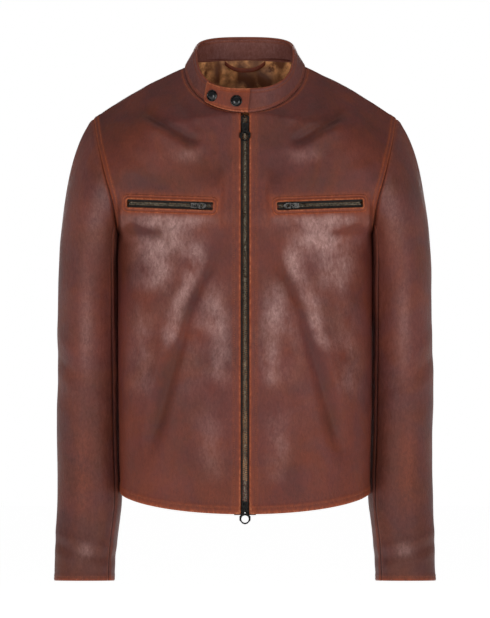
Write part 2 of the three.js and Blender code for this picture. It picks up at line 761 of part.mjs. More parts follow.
const POCKET_ZIP = { half: 62, slot: 0.6, strip: 2.2, tape: 9 };
const pocketTape = cut(
  block([-67, 1.95, -POCKET_ZIP.tape], [67, 2.55, POCKET_ZIP.tape]),
  block([-POCKET_ZIP.half - 1.5, 0, -POCKET_ZIP.strip - 0.3], [POCKET_ZIP.half + 1.5, 4, POCKET_ZIP.strip + 0.3]),
);
addPair("pocket_tape", inPocketFrame(pocketTape), "tape");
addPair(
  "pocket_teeth_upper",
  inPocketFrame(block([-POCKET_ZIP.half, 1, POCKET_ZIP.slot], [POCKET_ZIP.half, 3.2, POCKET_ZIP.strip])),
  "brass",
);
addPair(
  "pocket_teeth_lower",
  inPocketFrame(block([-POCKET_ZIP.half, 1, -POCKET_ZIP.strip], [POCKET_ZIP.half, 3.2, -POCKET_ZIP.slot])),
  "brass",
);
const POCKET_SLIDER = {
  half: 4.2, length: 9, front: [-0.9, 0.6], rear: [3.6, 4.6], flange: [1.5, 2.95], post: 0.3,
  lug: { half: 1, radius: 1.1 },
};
const POCKET_PULL = { half: 4.2, length: 18, hole: 2.4, slot: 1.4, bar: 1.0, thickness: 1.2 };
const POCKET_SLIDER_X = -35.5;
addPair(
  "pocket_slider",
  inPocketFrame(slider({ ...POCKET_SLIDER, barZ: 1.5 }).rotateY(-Math.PI / 2).translate(POCKET_SLIDER_X, 0, 0)),
  "black",
);
addPair(
  "pocket_pull",
  inPocketFrame(
    pull(POCKET_PULL).rotateY(Math.PI / 2).translate(POCKET_SLIDER_X - 1.5, barY(POCKET_SLIDER), 0),
  ),
  "black",
);

export default jacket;
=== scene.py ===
"""A leather riding jacket standing as on a body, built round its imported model. Lengths in the
pattern tables are millimetres; every object is in metres."""
import json
import math
from functools import partial

import bpy
import numpy as np
from mathutils import Matrix, Vector


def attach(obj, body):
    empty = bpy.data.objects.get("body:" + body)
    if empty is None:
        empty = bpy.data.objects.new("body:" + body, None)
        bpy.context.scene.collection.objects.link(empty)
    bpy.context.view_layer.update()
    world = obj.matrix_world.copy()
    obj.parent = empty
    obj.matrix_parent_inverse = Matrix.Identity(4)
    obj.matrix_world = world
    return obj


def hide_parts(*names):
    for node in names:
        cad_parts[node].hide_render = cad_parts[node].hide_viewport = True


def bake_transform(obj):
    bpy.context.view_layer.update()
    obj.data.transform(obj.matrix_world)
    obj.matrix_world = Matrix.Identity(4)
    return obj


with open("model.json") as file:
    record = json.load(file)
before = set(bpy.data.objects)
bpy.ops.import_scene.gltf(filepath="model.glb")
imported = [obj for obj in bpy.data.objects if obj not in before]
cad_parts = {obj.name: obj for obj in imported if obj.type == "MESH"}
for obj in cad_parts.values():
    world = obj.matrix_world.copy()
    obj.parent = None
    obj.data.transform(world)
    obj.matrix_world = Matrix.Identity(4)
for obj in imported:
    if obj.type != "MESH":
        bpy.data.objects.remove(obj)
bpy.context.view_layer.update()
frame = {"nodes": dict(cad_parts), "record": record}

MM = 0.001
NODES = frame["nodes"]
JOINTS = {joint["name"]: joint for joint in frame["record"]["behaviour"]["joints"]}
SIDES = {"left": 1, "right": -1}  # the wearer's left is +X
MIRROR = Matrix.Diagonal((-1, 1, 1, 1))
bpy.ops.object.select_all(action="DESELECT")

# ------------------------------------------------------------------ camera
CAMERA_DISTANCE = 30.0
CHEST_Y = -0.06
HALF_VIEW = 0.4545  # metres seen above and below the middle at the chest
SENSOR = 36
camera_data = bpy.data.cameras.new("camera")
camera = bpy.data.objects.new("camera", camera_data)
bpy.context.scene.collection.objects.link(camera)
bpy.context.scene.camera = camera
camera.location = (0, -CAMERA_DISTANCE, -0.3566)
camera.rotation_euler = (math.pi / 2, 0, 0)
camera_data.sensor_width = SENSOR
camera_data.lens = SENSOR / 2 / (HALF_VIEW / (CAMERA_DISTANCE + CHEST_Y))
camera_data.clip_end = 100


def srgb(code):
    """Linear colour with alpha from an sRGB hex value."""
    parts = [int(code[i : i + 2], 16) / 255 for i in (1, 3, 5)]
    return tuple(c / 12.92 if c <= 0.04045 else ((c + 0.055) / 1.055) ** 2.4 for c in parts) + (1.0,)


def plug(holder, inputs):
    """Sets a node's sockets, by name or number, to values, or links them to the outputs given."""
    for key, value in inputs.items():
        if isinstance(value, bpy.types.NodeSocket):
            holder.id_data.links.new(value, holder.inputs[key])
        else:
            holder.inputs[key].default_value = value


def node(tree, kind, inputs=None, out=0, **settings):
    """Adds a node with its settings and links, and gives the output asked for."""
    made = tree.nodes.new("ShaderNode" + kind)
    for key, value in settings.items():
        setattr(made, key, value)
    plug(made, inputs or {})
    return made.outputs[out]


# ------------------------------------------------------------------ floor and light
def area_light(name, place, towards, size, power):
    data = bpy.data.lights.new(name, "AREA")
    data.shape, data.size, data.size_y = "RECTANGLE", size[0], size[1]
    data.energy = power
    light = bpy.data.objects.new(name, data)
    light.location = place
    light.rotation_euler = (Vector(towards) - Vector(place)).to_track_quat("-Z", "Y").to_euler()
    bpy.context.scene.collection.objects.link(light)


for side, sign in SIDES.items():
    area_light(f"front_softbox_{side}", (sign * 1.5, -2.9, -0.3), (0, 0, -0.4), (1.1, 1.6), 26)
area_light("overhead_softbox", (0, -0.3, 2.4), (0, 0, -0.3), (2.0, 1.4), 9)
area_light("back_softbox", (0, 3.0, 0.6), (0, 0, -0.35), (2.4, 1.6), 42)

# The studio's white background is lit apart from the jacket: the camera sees it white, and the
# jacket gets a dim, even light from it.
WHITE, DIM = 1.0, 0.3
world = bpy.data.worlds.new("studio")
bpy.context.scene.world = world
world.use_nodes = True
seen = node(world.node_tree, "LightPath", out="Is Camera Ray")
level = node(world.node_tree, "MapRange", {0: seen, 3: DIM, 4: WHITE})
plug(world.node_tree.nodes["Background"], {"Color": srgb("#ffffff"), "Strength": level})
bpy.context.scene.view_settings.view_transform = "Standard"

FLOOR_Z = -0.84
bpy.ops.mesh.primitive_plane_add(size=40, location=(0, 0, FLOOR_Z))
floor = bpy.context.active_object
floor.name = "floor"
floor_paint = bpy.data.materials.new("matt_white_studio_floor")
floor_paint.use_nodes = True
plug(floor_paint.node_tree.nodes["Principled BSDF"], {
    "Base Color": srgb("#f4f4f4"), "Roughness": 0.9,
    "Emission Color": srgb("#ffffff"), "Emission Strength": 0.72,
})
floor.data.materials.append(floor_paint)
bpy.ops.object.select_all(action="DESELECT")


# ------------------------------------------------------------------ materials
LOW, HIGH, TO_LOW, TO_HIGH = 1, 2, 3, 4  # a range node's sockets
SHADE_A, SHADE_B = 6, 7  # a mix node's colour sockets, after its share at 0
COLOUR = dict(out=2, data_type="RGBA")


def material(name):
    made = bpy.data.materials.new(name)
    made.use_nodes = True
    tree = made.node_tree
    return made, tree.nodes["Principled BSDF"], partial(node, tree)


def every(mm):
    """The scale of a pattern whose features are about so many millimetres wide."""
    return 1000 / mm


def waxed_leather(name, shades, drift, edge, edge_light, painted_sheen):
    """Sheep leather, vegetable tanned, dyed and waxed by hand: a cloudy red brown that drifts darker
    and warmer over a hand's breadth, a soft broad sheen, fine grain, and orange where rubbing has lifted the
    dye from folded edges and seams. A painted sheen, pale like wax, is mixed into the colour on the high
    folds, and the tone attribute adds painted shade and painted light to the dye's own drift."""
    made, shader, add = material(name)
    place = add("TexCoord", out="Object")
    noise = partial(add, "TexNoise")
    cloud = noise({"Vector": place, "Scale": every(120), "Detail": 3, "Roughness": 0.5, "Distortion": 0.5})
    mottle = noise({"Vector": place, "Scale": every(22), "Detail": 4, "Roughness": 0.6})
    mixed = add("Math", {0: mottle, 1: 0.7, 2: cloud}, operation="MULTIPLY_ADD")
    # Painted shade and light: this attribute adds the dye's random drift, and also darkens creases and faces
    # turned from the lamps and lightens lit ones.
    dye_tone_and_painted_shading = add("Attribute", out="Fac", attribute_name="dye_tone_and_painted_shading")
    toned_and_shaded = add("Math", {0: mixed, 1: dye_tone_and_painted_shading}, operation="ADD")
    colours = add("ValToRGB", {0: add("MapRange", {0: toned_and_shaded, LOW: 0.5, HIGH: 1.2})})
    stops = colours.node.color_ramp.elements
    stops[0].color, stops[1].color = srgb(shades[0]), srgb(shades[2])
    stops.new(0.5).color = srgb(shades[1])
    # The dye drifts towards plum in some places and towards tan in others.
    wander = noise({"Vector": place, "Scale": every(70), "Detail": 3, "Roughness": 0.55, "Distortion": 1.0})
    spread = add("MapRange", {0: wander, LOW: 0.38, HIGH: 0.62})
    hues = add("Mix", {0: spread, SHADE_A: srgb(drift[0]), SHADE_B: srgb(drift[1])}, **COLOUR)
    dyed = add("Mix", {0: 0.3, SHADE_A: colours, SHADE_B: hues}, **COLOUR)
    # The painted sheen and the rubbing are broken up by fine noise, so neither ends in a clean line.
    drawn = add("Mapping", {"Vector": place, "Scale": (1, 1, 0.55)})
    broken = noise({"Vector": drawn, "Scale": every(3.6), "Detail": 5, "Roughness": 0.7, "Distortion": 0.6})
    patchy = add("MapRange", {0: broken, LOW: 0.34, HIGH: 0.66, TO_LOW: 0.55, TO_HIGH: 1.2})
    # Painted sheen: a pale colour mixed in on the high folds stands in for the lamps' highlight on the wax.
    painted_sheen_share = add("Attribute", out="Fac", attribute_name="painted_sheen")
    broken_painted_sheen = add("Math", {0: painted_sheen_share, 1: patchy}, operation="MULTIPLY")
    with_painted_sheen = add("Mix", {0: broken_painted_sheen, SHADE_A: dyed, SHADE_B: srgb(painted_sheen)}, **COLOUR)
    rubbed = add("Attribute", out="Fac", attribute_name="rubbed")
    worn = add("Math", {0: rubbed, 1: patchy}, operation="MULTIPLY")
    lift = add("MapRange", {0: worn, LOW: 0.0, HIGH: 0.6})
    orange = add("Mix", {0: lift, SHADE_A: with_painted_sheen, SHADE_B: srgb(edge)}, **COLOUR)
    high = add("MapRange", {0: worn, LOW: 0.62, HIGH: 1.0})
    final = add("Mix", {0: high, SHADE_A: orange, SHADE_B: srgb(edge_light)}, **COLOUR)
    grit = add("MapRange", {0: broken, LOW: 0.3, HIGH: 0.7, TO_LOW: 0.86, TO_HIGH: 1.12})
    uneven = add("Mix", {0: 1.0, SHADE_A: final, SHADE_B: grit}, blend_type="MULTIPLY", **COLOUR)
    gloss = add("MapRange", {0: mottle, LOW: 0.3, HIGH: 0.7, TO_LOW: 0.44, TO_HIGH: 0.56})
    # Sheep grain cells are about 0.6 mm; they are drawn at 1.1 mm so that they show.
    cells = {"Vector": place, "Scale": every(1.1), "Randomness": 0.9}
    cells = add("TexVoronoi", cells, feature="DISTANCE_TO_EDGE")
    grain = add("Bump", {"Strength": 0.14, "Distance": 0.0004, "Height": cells})
    creases = noise({"Vector": drawn, "Scale": every(13), "Detail": 6, "Roughness": 0.68, "Distortion": 0.9})
    crumple = add("Bump", {"Strength": 0.55, "Distance": 0.002, "Height": creases, "Normal": grain})
    plug(shader, {"Base Color": uneven, "Roughness": gloss, "Normal": crumple, "IOR": 1.5,
                  "Specular IOR Level": 0.2})
    return made


def woven_cloth(name, light, dark, thread_mm, cloud_mm, roughness, depth, folded=False):
    """Woven cloth: ribs of over-and-under threads at the given spacing, cloudy between two shades, and
    where it is folded, painted light along the crests and painted shade in the hollows."""
    made, shader, add = material(name)
    place = add("TexCoord", out="Object")
    # A wave texture repeats every 2 pi / 20 of its scaled length.
    ribs = {"Vector": place, "Scale": every(thread_mm) / 20 * 6.283, "Distortion": 0.5, "Detail": 1}
    warp = add("TexWave", ribs, out=1, bands_direction="DIAGONAL")
    cloud = add("TexNoise", {"Vector": place, "Scale": every(cloud_mm), "Detail": 4, "Roughness": 0.6})
    spread = add("MapRange", {0: cloud, LOW: 0.35, HIGH: 0.65})
    if folded:
        # Painted fold shading: this attribute dims the pale shade in fold hollows and keeps it on the crests.
        painted_fold_shading = add("Attribute", out="Fac", attribute_name="painted_fold_shading")
        spread = add("Math", {0: spread, 1: painted_fold_shading}, operation="MULTIPLY")
    plug(shader, {
        "Base Color": add("Mix", {0: spread, SHADE_A: srgb(dark), SHADE_B: srgb(light)}, **COLOUR),
        "Normal": add("Bump", {"Strength": depth, "Distance": 0.0003, "Height": warp}),
        "Roughness": roughness, "Specular IOR Level": 0.25,
    })
    return made


def worn_metal(name, plate, rubbed, roughness, speckle_mm):
    """Plated zinc or brass, tumbled: darker in the hollows and brighter where it has been rubbed."""
    made, shader, add = material(name)
    place = add("TexCoord", out="Object")
    speckle = add("TexNoise", {"Vector": place, "Scale": every(speckle_mm), "Detail": 4, "Roughness": 0.6})
    spread = add("MapRange", {0: speckle, LOW: 0.35, HIGH: 0.68})
    rough = {0: speckle, LOW: 0.3, HIGH: 0.7, TO_LOW: roughness * 1.3, TO_HIGH: roughness * 0.8}
    plug(shader, {
        "Base Color": add("Mix", {0: spread, SHADE_A: srgb(plate), SHADE_B: srgb(rubbed)}, **COLOUR),
        "Roughness": add("MapRange", rough), "Metallic": 1.0,
    })
    return made


def black_enamel(name):
    """Baked black enamel on the snap caps: deep black, nearly mirror smooth, with faint orange peel."""
    made, shader, add = material(name)
    place = add("TexCoord", out="Object")
    peel = add("TexNoise", {"Vector": place, "Scale": every(1.5), "Detail": 2})
    plug(shader, {
        "Base Color": add("Mix", {0: peel, SHADE_A: srgb("#050506"), SHADE_B: srgb("#0b0b0e")}, **COLOUR),
        "Normal": add("Bump", {"Strength": 0.06, "Distance": 0.0002, "Height": peel}),
        "Roughness": 0.1, "Specular IOR Level": 0.4,
    })
    return made


LEATHER = waxed_leather("waxed_sheep_leather", shades=("#431e1a", "#592822", "#6a3026"),
                        drift=("#5a322f", "#70391f"), edge="#7f3a20", edge_light="#a05c3c", painted_sheen="#a8847e")
SATIN = woven_cloth("viscose_satin_lining", "#eba66c", "#70422a", 0.8, 16, 0.5, 0.06, folded=True)
TWILL = woven_cloth("cotton_twill_pocketing", "#4d3d30", "#3b2e25", 0.9, 20, 0.85, 0.4)
TAPE = woven_cloth("woven_polyester_zip_tape", "#211c19", "#141110", 0.9, 12, 0.8, 0.45)
THREAD = woven_cloth("bonded_nylon_thread", "#94502f", "#6a3926", 0.5, 8, 0.55, 0.2)
BRASS = worn_metal("antiqued_brass", "#191613", "#807868", 0.34, 2.2)
NICKEL = worn_metal("black_nickel_plate", "#0d0d0d", "#4a4846", 0.22, 3.0)
ENAMEL = black_enamel("black_baked_enamel")

# ------------------------------------------------------------------ curves through stations
def hermite(p0, m0, p1, m1, s):
    s2, s3 = s * s, s * s * s
    return (2 * s3 - 3 * s2 + 1) * p0 + (s3 - 2 * s2 + s) * m0 + (3 * s2 - 2 * s3) * p1 + (s3 - s2) * m1


def along(rows, t):
    """The numbers at stations t of a table of [station, *numbers] rows, on a smooth curve."""
    table = np.array(rows, float)
    t = np.asarray(t, float)
    i = np.searchsorted(table[1:-1, 0], t, side="left")
    a, b = table[i], table[i + 1]
    before, after = table[np.maximum(i - 1, 0)], table[np.minimum(i + 2, len(table) - 1)]
    span = b[..., :1] - a[..., :1]
    start = (b - before) / (b[..., :1] - before[..., :1]) * span
    end = (after - a) / (after[..., :1] - a[..., :1]) * span
    s = (t[..., None] - a[..., :1]) / span
    return hermite(a, start, b, end, s)[..., 1:]


def smooth(low, high, x):
    s = np.clip((x - low) / (high - low), 0, 1)
    return s * s * (3 - 2 * s)


def hump(d, width):
    """1 at d = 0, falling off smoothly over the width."""
    return np.exp(-((d / width) ** 2))


def point3(x, y, z):
    return np.stack(np.broadcast_arrays(x, y, z), -1)


# ------------------------------------------------------------------ the cut of the jacket
NECK = dict(half_width=89, centre_y=-15, front=83, back=77, front_drop=68, nape_rise=8)
COLLAR = dict(half_width=72, centre_y=-18, front=75, back=69, front_z=-32, side_z=28, back_z=45.2, power=2.8)
FRONT_TILT = 30 / 590
HEM_Z = -658
ZIP_EDGE = 6.2  # front centre line to the leather's folded edge
ARMPIT = 0.6  # station of the armpit on the edges
FRONT_NECK = 0.88  # station where the front's inner edge turns to follow the neckline
FRONT_CENTRE = [
    [0.0, -658, 360, 0, 3], [0.2, -530, 362, 0, 0], [0.4, -400, 364, 0, 0], [0.6, -275, 366, 0, 0],
    [0.75, -180, 366, 0, 0], [0.88, -68, 320, -10, -25],
]
FRONT_NECK_ROWS = [
    [0.88, 4, 326, -8, -20], [0.92, 33, 240, -22, -45], [0.96, 62, 175, -14, -62], [1.0, 90, 142, 11, -62],
]
SIDE_SEAM = [
    [0.0, 184, -20, -627, 0, 235, 26], [0.2, 186, -20, -508, 0, 230, 8], [0.4, 187, -18, -380, 0, 228, 6],
    [0.6, 188, -4, -245, 0, 225, 6],
]
FRONT_ARMHOLE = [
    [0.6, 188, -4, -245, 0, 225, 6], [0.68, 189, -56, -228, 40, 130, 0], [0.75, 195, -80, -197, 120, 70, -5],
    [0.82, 205, -80, -162, 140, 60, -15], [0.88, 212, -67, -134, 140, 62, -40],
    [0.94, 218, -41, -107, 132, 56, -66], [1.0, 223, -4, -76, 128, 11, -94],
]
BACK_ARMHOLE = [
    [0.6, 188, -4, -245, 25, -235, 6], [0.68, 189, 38, -228, 50, -170, 0],
    [0.75, 195, 60, -197, 90, -115, -5],
    [0.82, 205, 62, -162, 120, -90, -15], [0.88, 212, 52, -134, 130, -80, -35],
    [0.94, 218, 32, -107, 128, -60, -60], [1.0, 223, -4, -76, 128, 11, -94],
]
BACK_CENTRE = [
    [0.0, 116, -648, 330, 0, 0], [0.2, 106, -530, 332, 0, 0], [0.4, 99, -395, 334, 0, 0],
    [0.6, 110, -255, 338, 0, 0], [0.75, 116, -160, 330, 0, 0], [0.82, 112, -108, 310, 0, 0],
    [1.0, 62, 8, 200, 0, 0],
]
SHOULDER_START = np.array([142, 11, -62.0])
BACK_YOKE = 0.82
NECK_SHARE = 0.362
CAP = 0.34  # share of the sleeve's length that is the cap
ARM = [
    [0.34, 233, 12, -330, 42, 68], [0.48, 233.5, 18, -420, 43.2, 62], [0.66, 232, 22, -535, 45, 56],
    [0.82, 230, 20, -641, 47, 51], [0.91, 234.5, 15, -703, 45, 47], [1.0, 237, 12, -757, 44.2, 45],
]


def neckline(degrees):
    c, s = np.cos(np.radians(degrees)), np.sin(np.radians(degrees))
    depth = np.where(c > 0, NECK["front"], NECK["back"])
    rise = np.where(c > 0, -NECK["front_drop"], -NECK["nape_rise"]) * c
    return point3(NECK["half_width"] * s, NECK["centre_y"] - depth * c, rise)


def collar_top(degrees):
    c, s = np.cos(np.radians(degrees)), np.sin(np.radians(degrees))
    c = np.sign(c) * np.abs(c) ** (2 / COLLAR["power"])
    s = np.sign(s) * np.abs(s) ** (2 / COLLAR["power"])
    depth = np.where(c > 0, COLLAR["front"], COLLAR["back"])
    end = np.where(c > 0, COLLAR["front_z"], COLLAR["back_z"])
    height = COLLAR["side_z"] + (end - COLLAR["side_z"]) * np.abs(c)
    return point3(COLLAR["half_width"] * s, COLLAR["centre_y"] - depth * c, height)


def collar_face(degrees, up):
    foot = neckline(degrees) + np.array([0, 0, 1.2])
    return foot + (collar_top(degrees) - foot) * np.asarray(up)[..., None]


def front_line_y(z):
    return NECK["centre_y"] - NECK["front"] + (z + NECK["front_drop"]) * FRONT_TILT


def split(rows_low, rows_high, at, v):
    low = along(rows_low, np.minimum(v, at))
    high = along(rows_high, np.maximum(v, at))
    return np.where((v <= at)[..., None], low, high)


def front_face(u, v):
    """The wearer's left front: u from the zip or neckline to the side seam or armhole, v from hem to
    shoulder tip."""
    edge = split(SIDE_SEAM, FRONT_ARMHOLE, ARMPIT, v)
    centre = along(FRONT_CENTRE, np.minimum(v, FRONT_NECK))
    low = point3(ZIP_EDGE, front_line_y(centre[..., 0]), centre[..., 0])
    high = along(FRONT_NECK_ROWS, np.maximum(v, FRONT_NECK))
    below = (v <= FRONT_NECK)[..., None]
    start = np.where(below, low, neckline(high[..., 0]))
    leave = np.where(below, centre[..., 1:], high[..., 1:])
    return hermite(start, leave, edge[..., :3], edge[..., 3:], u[..., None])


def back_edge(v):
    edge = split(SIDE_SEAM, BACK_ARMHOLE, ARMPIT, v)
    turned = edge * np.array([1, 1, 1, 1, -1.05, 1]) + np.array([0, 0, 0, 25, 0, 0])
    return np.where((v > ARMPIT)[..., None], edge, turned)


def back_row(u, v):
    centre = along(BACK_CENTRE, v)
    edge = back_edge(v)
    start = point3(0, centre[..., 0], centre[..., 1])
    return hermite(start, centre[..., 2:], edge[..., :3], edge[..., 3:], u[..., None])


def back_top(u):
    tip = np.array(BACK_ARMHOLE[-1][1:], float)
    seam = np.clip((u - NECK_SHARE) / (1 - NECK_SHARE), 0, 1)[..., None]
    shoulder = hermite(neckline(90.0), SHOULDER_START, tip[:3], tip[3:], seam)
    return np.where((u < NECK_SHARE)[..., None], neckline(180 - 90 * u / NECK_SHARE), shoulder)


def back_face(u, v):
    """The back, u from -1 at the wearer's right side seam to 1 at the left one."""
    side = np.abs(u)
    low = back_row(side, np.minimum(v, BACK_YOKE))
    w = np.clip((v - BACK_YOKE) / (1 - BACK_YOKE), 0, 1)[..., None]
    zero, one, yoke = np.zeros_like(side), np.ones_like(side), np.full_like(side, BACK_YOKE)
    high = np.maximum(v, BACK_YOKE)

    def blended(s):
        return back_row(s, yoke) * (1 - w) + back_top(s) * w

    centre = back_row(zero, high) - blended(zero)
    edge = back_edge(high)[..., :3] - blended(one)
    upper = blended(side) + centre * (1 - side)[..., None] + edge * side[..., None]
    point = np.where((v <= BACK_YOKE)[..., None], low, upper)
    point[..., 0] *= np.where(u < 0, -1, 1)
    return point


def arm_ring(around, s):
    x, y, z, half_width, half_depth = np.moveaxis(along(ARM, s), -1, 0)
    angle = 2 * np.pi * around
    return point3(x + half_width * np.cos(angle), y - half_depth * np.sin(angle), z)


def sleeve_face(around, s):
    """The wearer's left sleeve: around from the outer line forwards, s from the armhole to the cuff."""
    turn = np.mod(around, 1)
    v = np.where(turn < 0.5, 1 - 2 * (1 - ARMPIT) * turn, 1 - 2 * (1 - ARMPIT) * (1 - turn))
    start = np.where((turn < 0.5)[..., None], along(FRONT_ARMHOLE, v), along(BACK_ARMHOLE, v))[..., :3]
    c, front = np.cos(2 * np.pi * turn), np.sin(2 * np.pi * turn)
    leave = point3(74 + 36 * c, -28 * front, -66 - 39 * c)
    arrive = point3(0 * c, 0 * c, -(180 + 100 * c))
    ring = arm_ring(turn, np.full_like(turn, CAP))
    cap = hermite(start, leave, ring, arrive, (np.minimum(s, CAP) / CAP)[..., None])
    return np.where((s >= CAP)[..., None], arm_ring(turn, np.maximum(s, CAP)), cap)


# The chest lies flat round each pocket's stiff zip. The wearer's left pocket's own axes: x outwards
# along its zip, y into the jacket, z up.
POCKET_AT = np.array([110.0959, -100.1005, -203.2722])
pocket_x = np.array(JOINTS["pocket_slider_left_travel"]["axis"], float)
pocket_y = np.array([-0.1477, 0.9884, -0.0349])
pocket_x /= np.linalg.norm(pocket_x)
pocket_y -= pocket_x * (pocket_x @ pocket_y)
pocket_y /= np.linalg.norm(pocket_y)
POCKET_AXES = np.array([pocket_x, pocket_y, np.cross(pocket_x, pocket_y)])
ZIP_AT = np.array([0, -128, HEM_Z])
tilt = math.atan(FRONT_TILT)
ZIP_AXES = np.array([[1, 0, 0], [0, math.cos(tilt), -math.sin(tilt)], [0, math.sin(tilt), math.cos(tilt)]])


def to_pocket(point):
    return (point - POCKET_AT) @ POCKET_AXES.T


def chest_face(u, v):
    local = to_pocket(front_face(u, v))
    share = (1 - smooth(71.5, 81, np.abs(local[..., 0]))) * (1 - smooth(15, 60, np.abs(local[..., 2])))
    local[..., 1] *= 1 - share
    return local @ POCKET_AXES + POCKET_AT


def for_side(points, side):
    """A copy of the wearer's left shape, mirrored for the right."""
    return points * np.array([SIDES[side], 1, 1])


# ------------------------------------------------------------------ sheets of leather and cloth
def grid(face, us, vs):
    return face(*np.meshgrid(us, vs))


def spaced(low, high, count, edge, edge_count):
    """Stations with closer spacing over a share at each end, where edges are rolled and stitched."""
    a, b = low + (high - low) * edge, high - (high - low) * edge
    ends = np.linspace(low, a, edge_count)[:-1], np.linspace(b, high, edge_count)[1:]
    return np.concatenate([ends[0], np.linspace(a, b, count), ends[1]])


def outward(points, flip=False, ring=False):
    if ring:
        du = np.roll(points, -1, 1) - np.roll(points, 1, 1)
    else:
        du = np.gradient(points, axis=1)
    n = np.cross(du, np.gradient(points, axis=0))
    n /= np.maximum(np.linalg.norm(n, axis=-1, keepdims=True), 1e-9)
    return -n if flip else n


def edge_distances(points):
    """Distance in mm along the surface from each point to the left, right, low and high edge."""
    across = np.linalg.norm(np.diff(points, axis=1), axis=-1)
    up = np.linalg.norm(np.diff(points, axis=0), axis=-1)
    left = np.concatenate([np.zeros((len(points), 1)), np.cumsum(across, 1)], 1)
    low = np.concatenate([np.zeros((1, points.shape[1])), np.cumsum(up, 0)], 0)
    return left, left[:, -1:] - left, low, low[-1:] - low


def ripples(points, wavelength, seed, stretch=(1, 1, 1), count=16):
    """A smooth random field of about -1 to 1 with features near the wavelength in mm."""
    rng = np.random.default_rng(seed)
    directions = rng.normal(size=(count, 3))
    directions /= np.linalg.norm(directions, axis=1, keepdims=True)
    waves = directions * np.array(stretch) * (2 * np.pi / wavelength) * rng.uniform(0.6, 1.3, (count, 1))
    phases = rng.uniform(0, 2 * np.pi, count)
    total = sum(np.sin(points @ wave + phase) for wave, phase in zip(waves, phases))
    return total / math.sqrt(count / 2) / 1.6


def crease(x, z, path, width, height):
    """A fold along a path of (x, z) stops: height in mm, fading out towards both ends."""
    stops = np.array(path, float)
    lengths = np.linalg.norm(np.diff(stops, axis=0), axis=1)
    begin = np.concatenate([[0], np.cumsum(lengths)])
    weight, where, closest = np.zeros(x.shape), np.zeros(x.shape), np.full(x.shape, 1e9)
    for (a, b), length, offset in zip(zip(stops[:-1], stops[1:]), lengths, begin[:-1]):
        d = (b - a) / length
        t = (x - a[0]) * d[0] + (z - a[1]) * d[1]
        held = np.clip(t, 0, length)
        gap = np.hypot(x - a[0] - held * d[0], z - a[1] - held * d[1])
        near = np.exp(-gap / 6) + 1e-12
        where += near * (offset + held)
        weight += near
        closest = np.minimum(closest, gap)
    share = np.clip(where / weight / begin[-1], 0, 1)
    return height * hump(closest, width) * smooth(0, 0.3, share) * smooth(1, 0.8, share)


def patch(x, z, centre, reach, amount):
    return amount * np.exp(-(((x - centre[0]) / reach[0]) ** 2) - ((z - centre[1]) / reach[1]) ** 2)


def only(piece):
    bpy.ops.object.select_all(action="DESELECT")
    piece.select_set(True)
    bpy.context.view_layer.objects.active = piece


def new_piece(name, vertices, faces, *finishes, edges=()):
    """A piece from vertices in mm."""
    mesh = bpy.data.meshes.new(name)
    mesh.from_pydata((np.asarray(vertices).reshape(-1, 3) * MM).tolist(), edges, faces)
    for finish in finishes:
        mesh.materials.append(finish)
    piece = bpy.data.objects.new(name, mesh)
    bpy.context.scene.collection.objects.link(piece)
    return piece


def in_edit(piece):
    """Opens the piece for editing, all of it selected."""
    only(piece)
    bpy.ops.object.mode_set(mode="EDIT")
    bpy.ops.mesh.select_all(action="SELECT")


def smooth_shade(piece, degrees):
    only(piece)
    bpy.ops.object.shade_smooth_by_angle(angle=math.radians(degrees))


def out_of_edit(piece, degrees):
    """Closes the edit and shades the piece smooth over edges below the angle."""
    bpy.ops.object.mode_set(mode="OBJECT")
    smooth_shade(piece, degrees)


def facing_out():
    bpy.ops.mesh.remove_doubles(threshold=0.01 * MM)
    bpy.ops.mesh.normals_make_consistent(inside=False)


def apply_modifier(piece, kind, **settings):
    only(piece)
    modifier = piece.modifiers.new(kind.lower(), kind)
    for key, value in settings.items():
        setattr(modifier, key, value)
    bpy.ops.object.modifier_apply(modifier=modifier.name)


def sheet_object(name, points, made_of, thickness, flip=False, ring=False, attributes=None, keep=None,
                 round_edge=0.0, inside=None):
    """A sheet of leather or cloth over a grid of points in mm, its thickness laid inwards. keep is a
    grid of which faces stay, and inside holds attributes that differ on the inner face."""
    rows, columns = points.shape[:2]
    faces = []
    for j in range(rows - 1):
        for i in range(columns if ring else columns - 1):
            if keep is not None and not keep[j, i]:
                continue
            low, high, k = j * columns, (j + 1) * columns, (i + 1) % columns
            face = (low + i, low + k, high + k, high + i)
            faces.append(face[::-1] if flip else face)
    piece = new_piece(name, points, faces, made_of)
    for key, values in (attributes or {}).items():
        stored = np.broadcast_to(values, (rows, columns)).astype(np.float32).ravel()
        piece.data.attributes.new(key, "FLOAT", "POINT").data.foreach_set("value", stored)
    if keep is not None:
        in_edit(piece)
        bpy.ops.mesh.delete_loose()
        bpy.ops.object.mode_set(mode="OBJECT")
    apply_modifier(piece, "SOLIDIFY", thickness=thickness * MM, offset=-1)
    for key, values in (inside or {}).items():
        stored = np.empty(len(piece.data.vertices), np.float32)
        piece.data.attributes[key].data.foreach_get("value", stored)
        stored[rows * columns : 2 * rows * columns] = np.broadcast_to(values, (rows, columns)).ravel()
        piece.data.attributes[key].data.foreach_set("value", stored)
    if round_edge:
        apply_modifier(piece, "BEVEL", width=round_edge * MM, segments=2, limit_method="ANGLE",
                       angle_limit=math.radians(55))
    smooth_shade(piece, 40)
    return piece


def place_mesh(piece, axes, origin, side="left"):
    """Moves a piece modelled in its own axes to those axes in the jacket's frame."""
    matrix = Matrix(np.array(axes).T.tolist()).to_4x4()
    matrix.translation = Vector(origin) * MM
    if side == "right":
        matrix = MIRROR @ matrix
    piece.data.transform(matrix)
    if matrix.determinant() < 0:
        piece.data.flip_normals()


def finish_piece(piece, body, replaced=()):
    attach(piece, body)
    if replaced:
        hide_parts(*replaced)


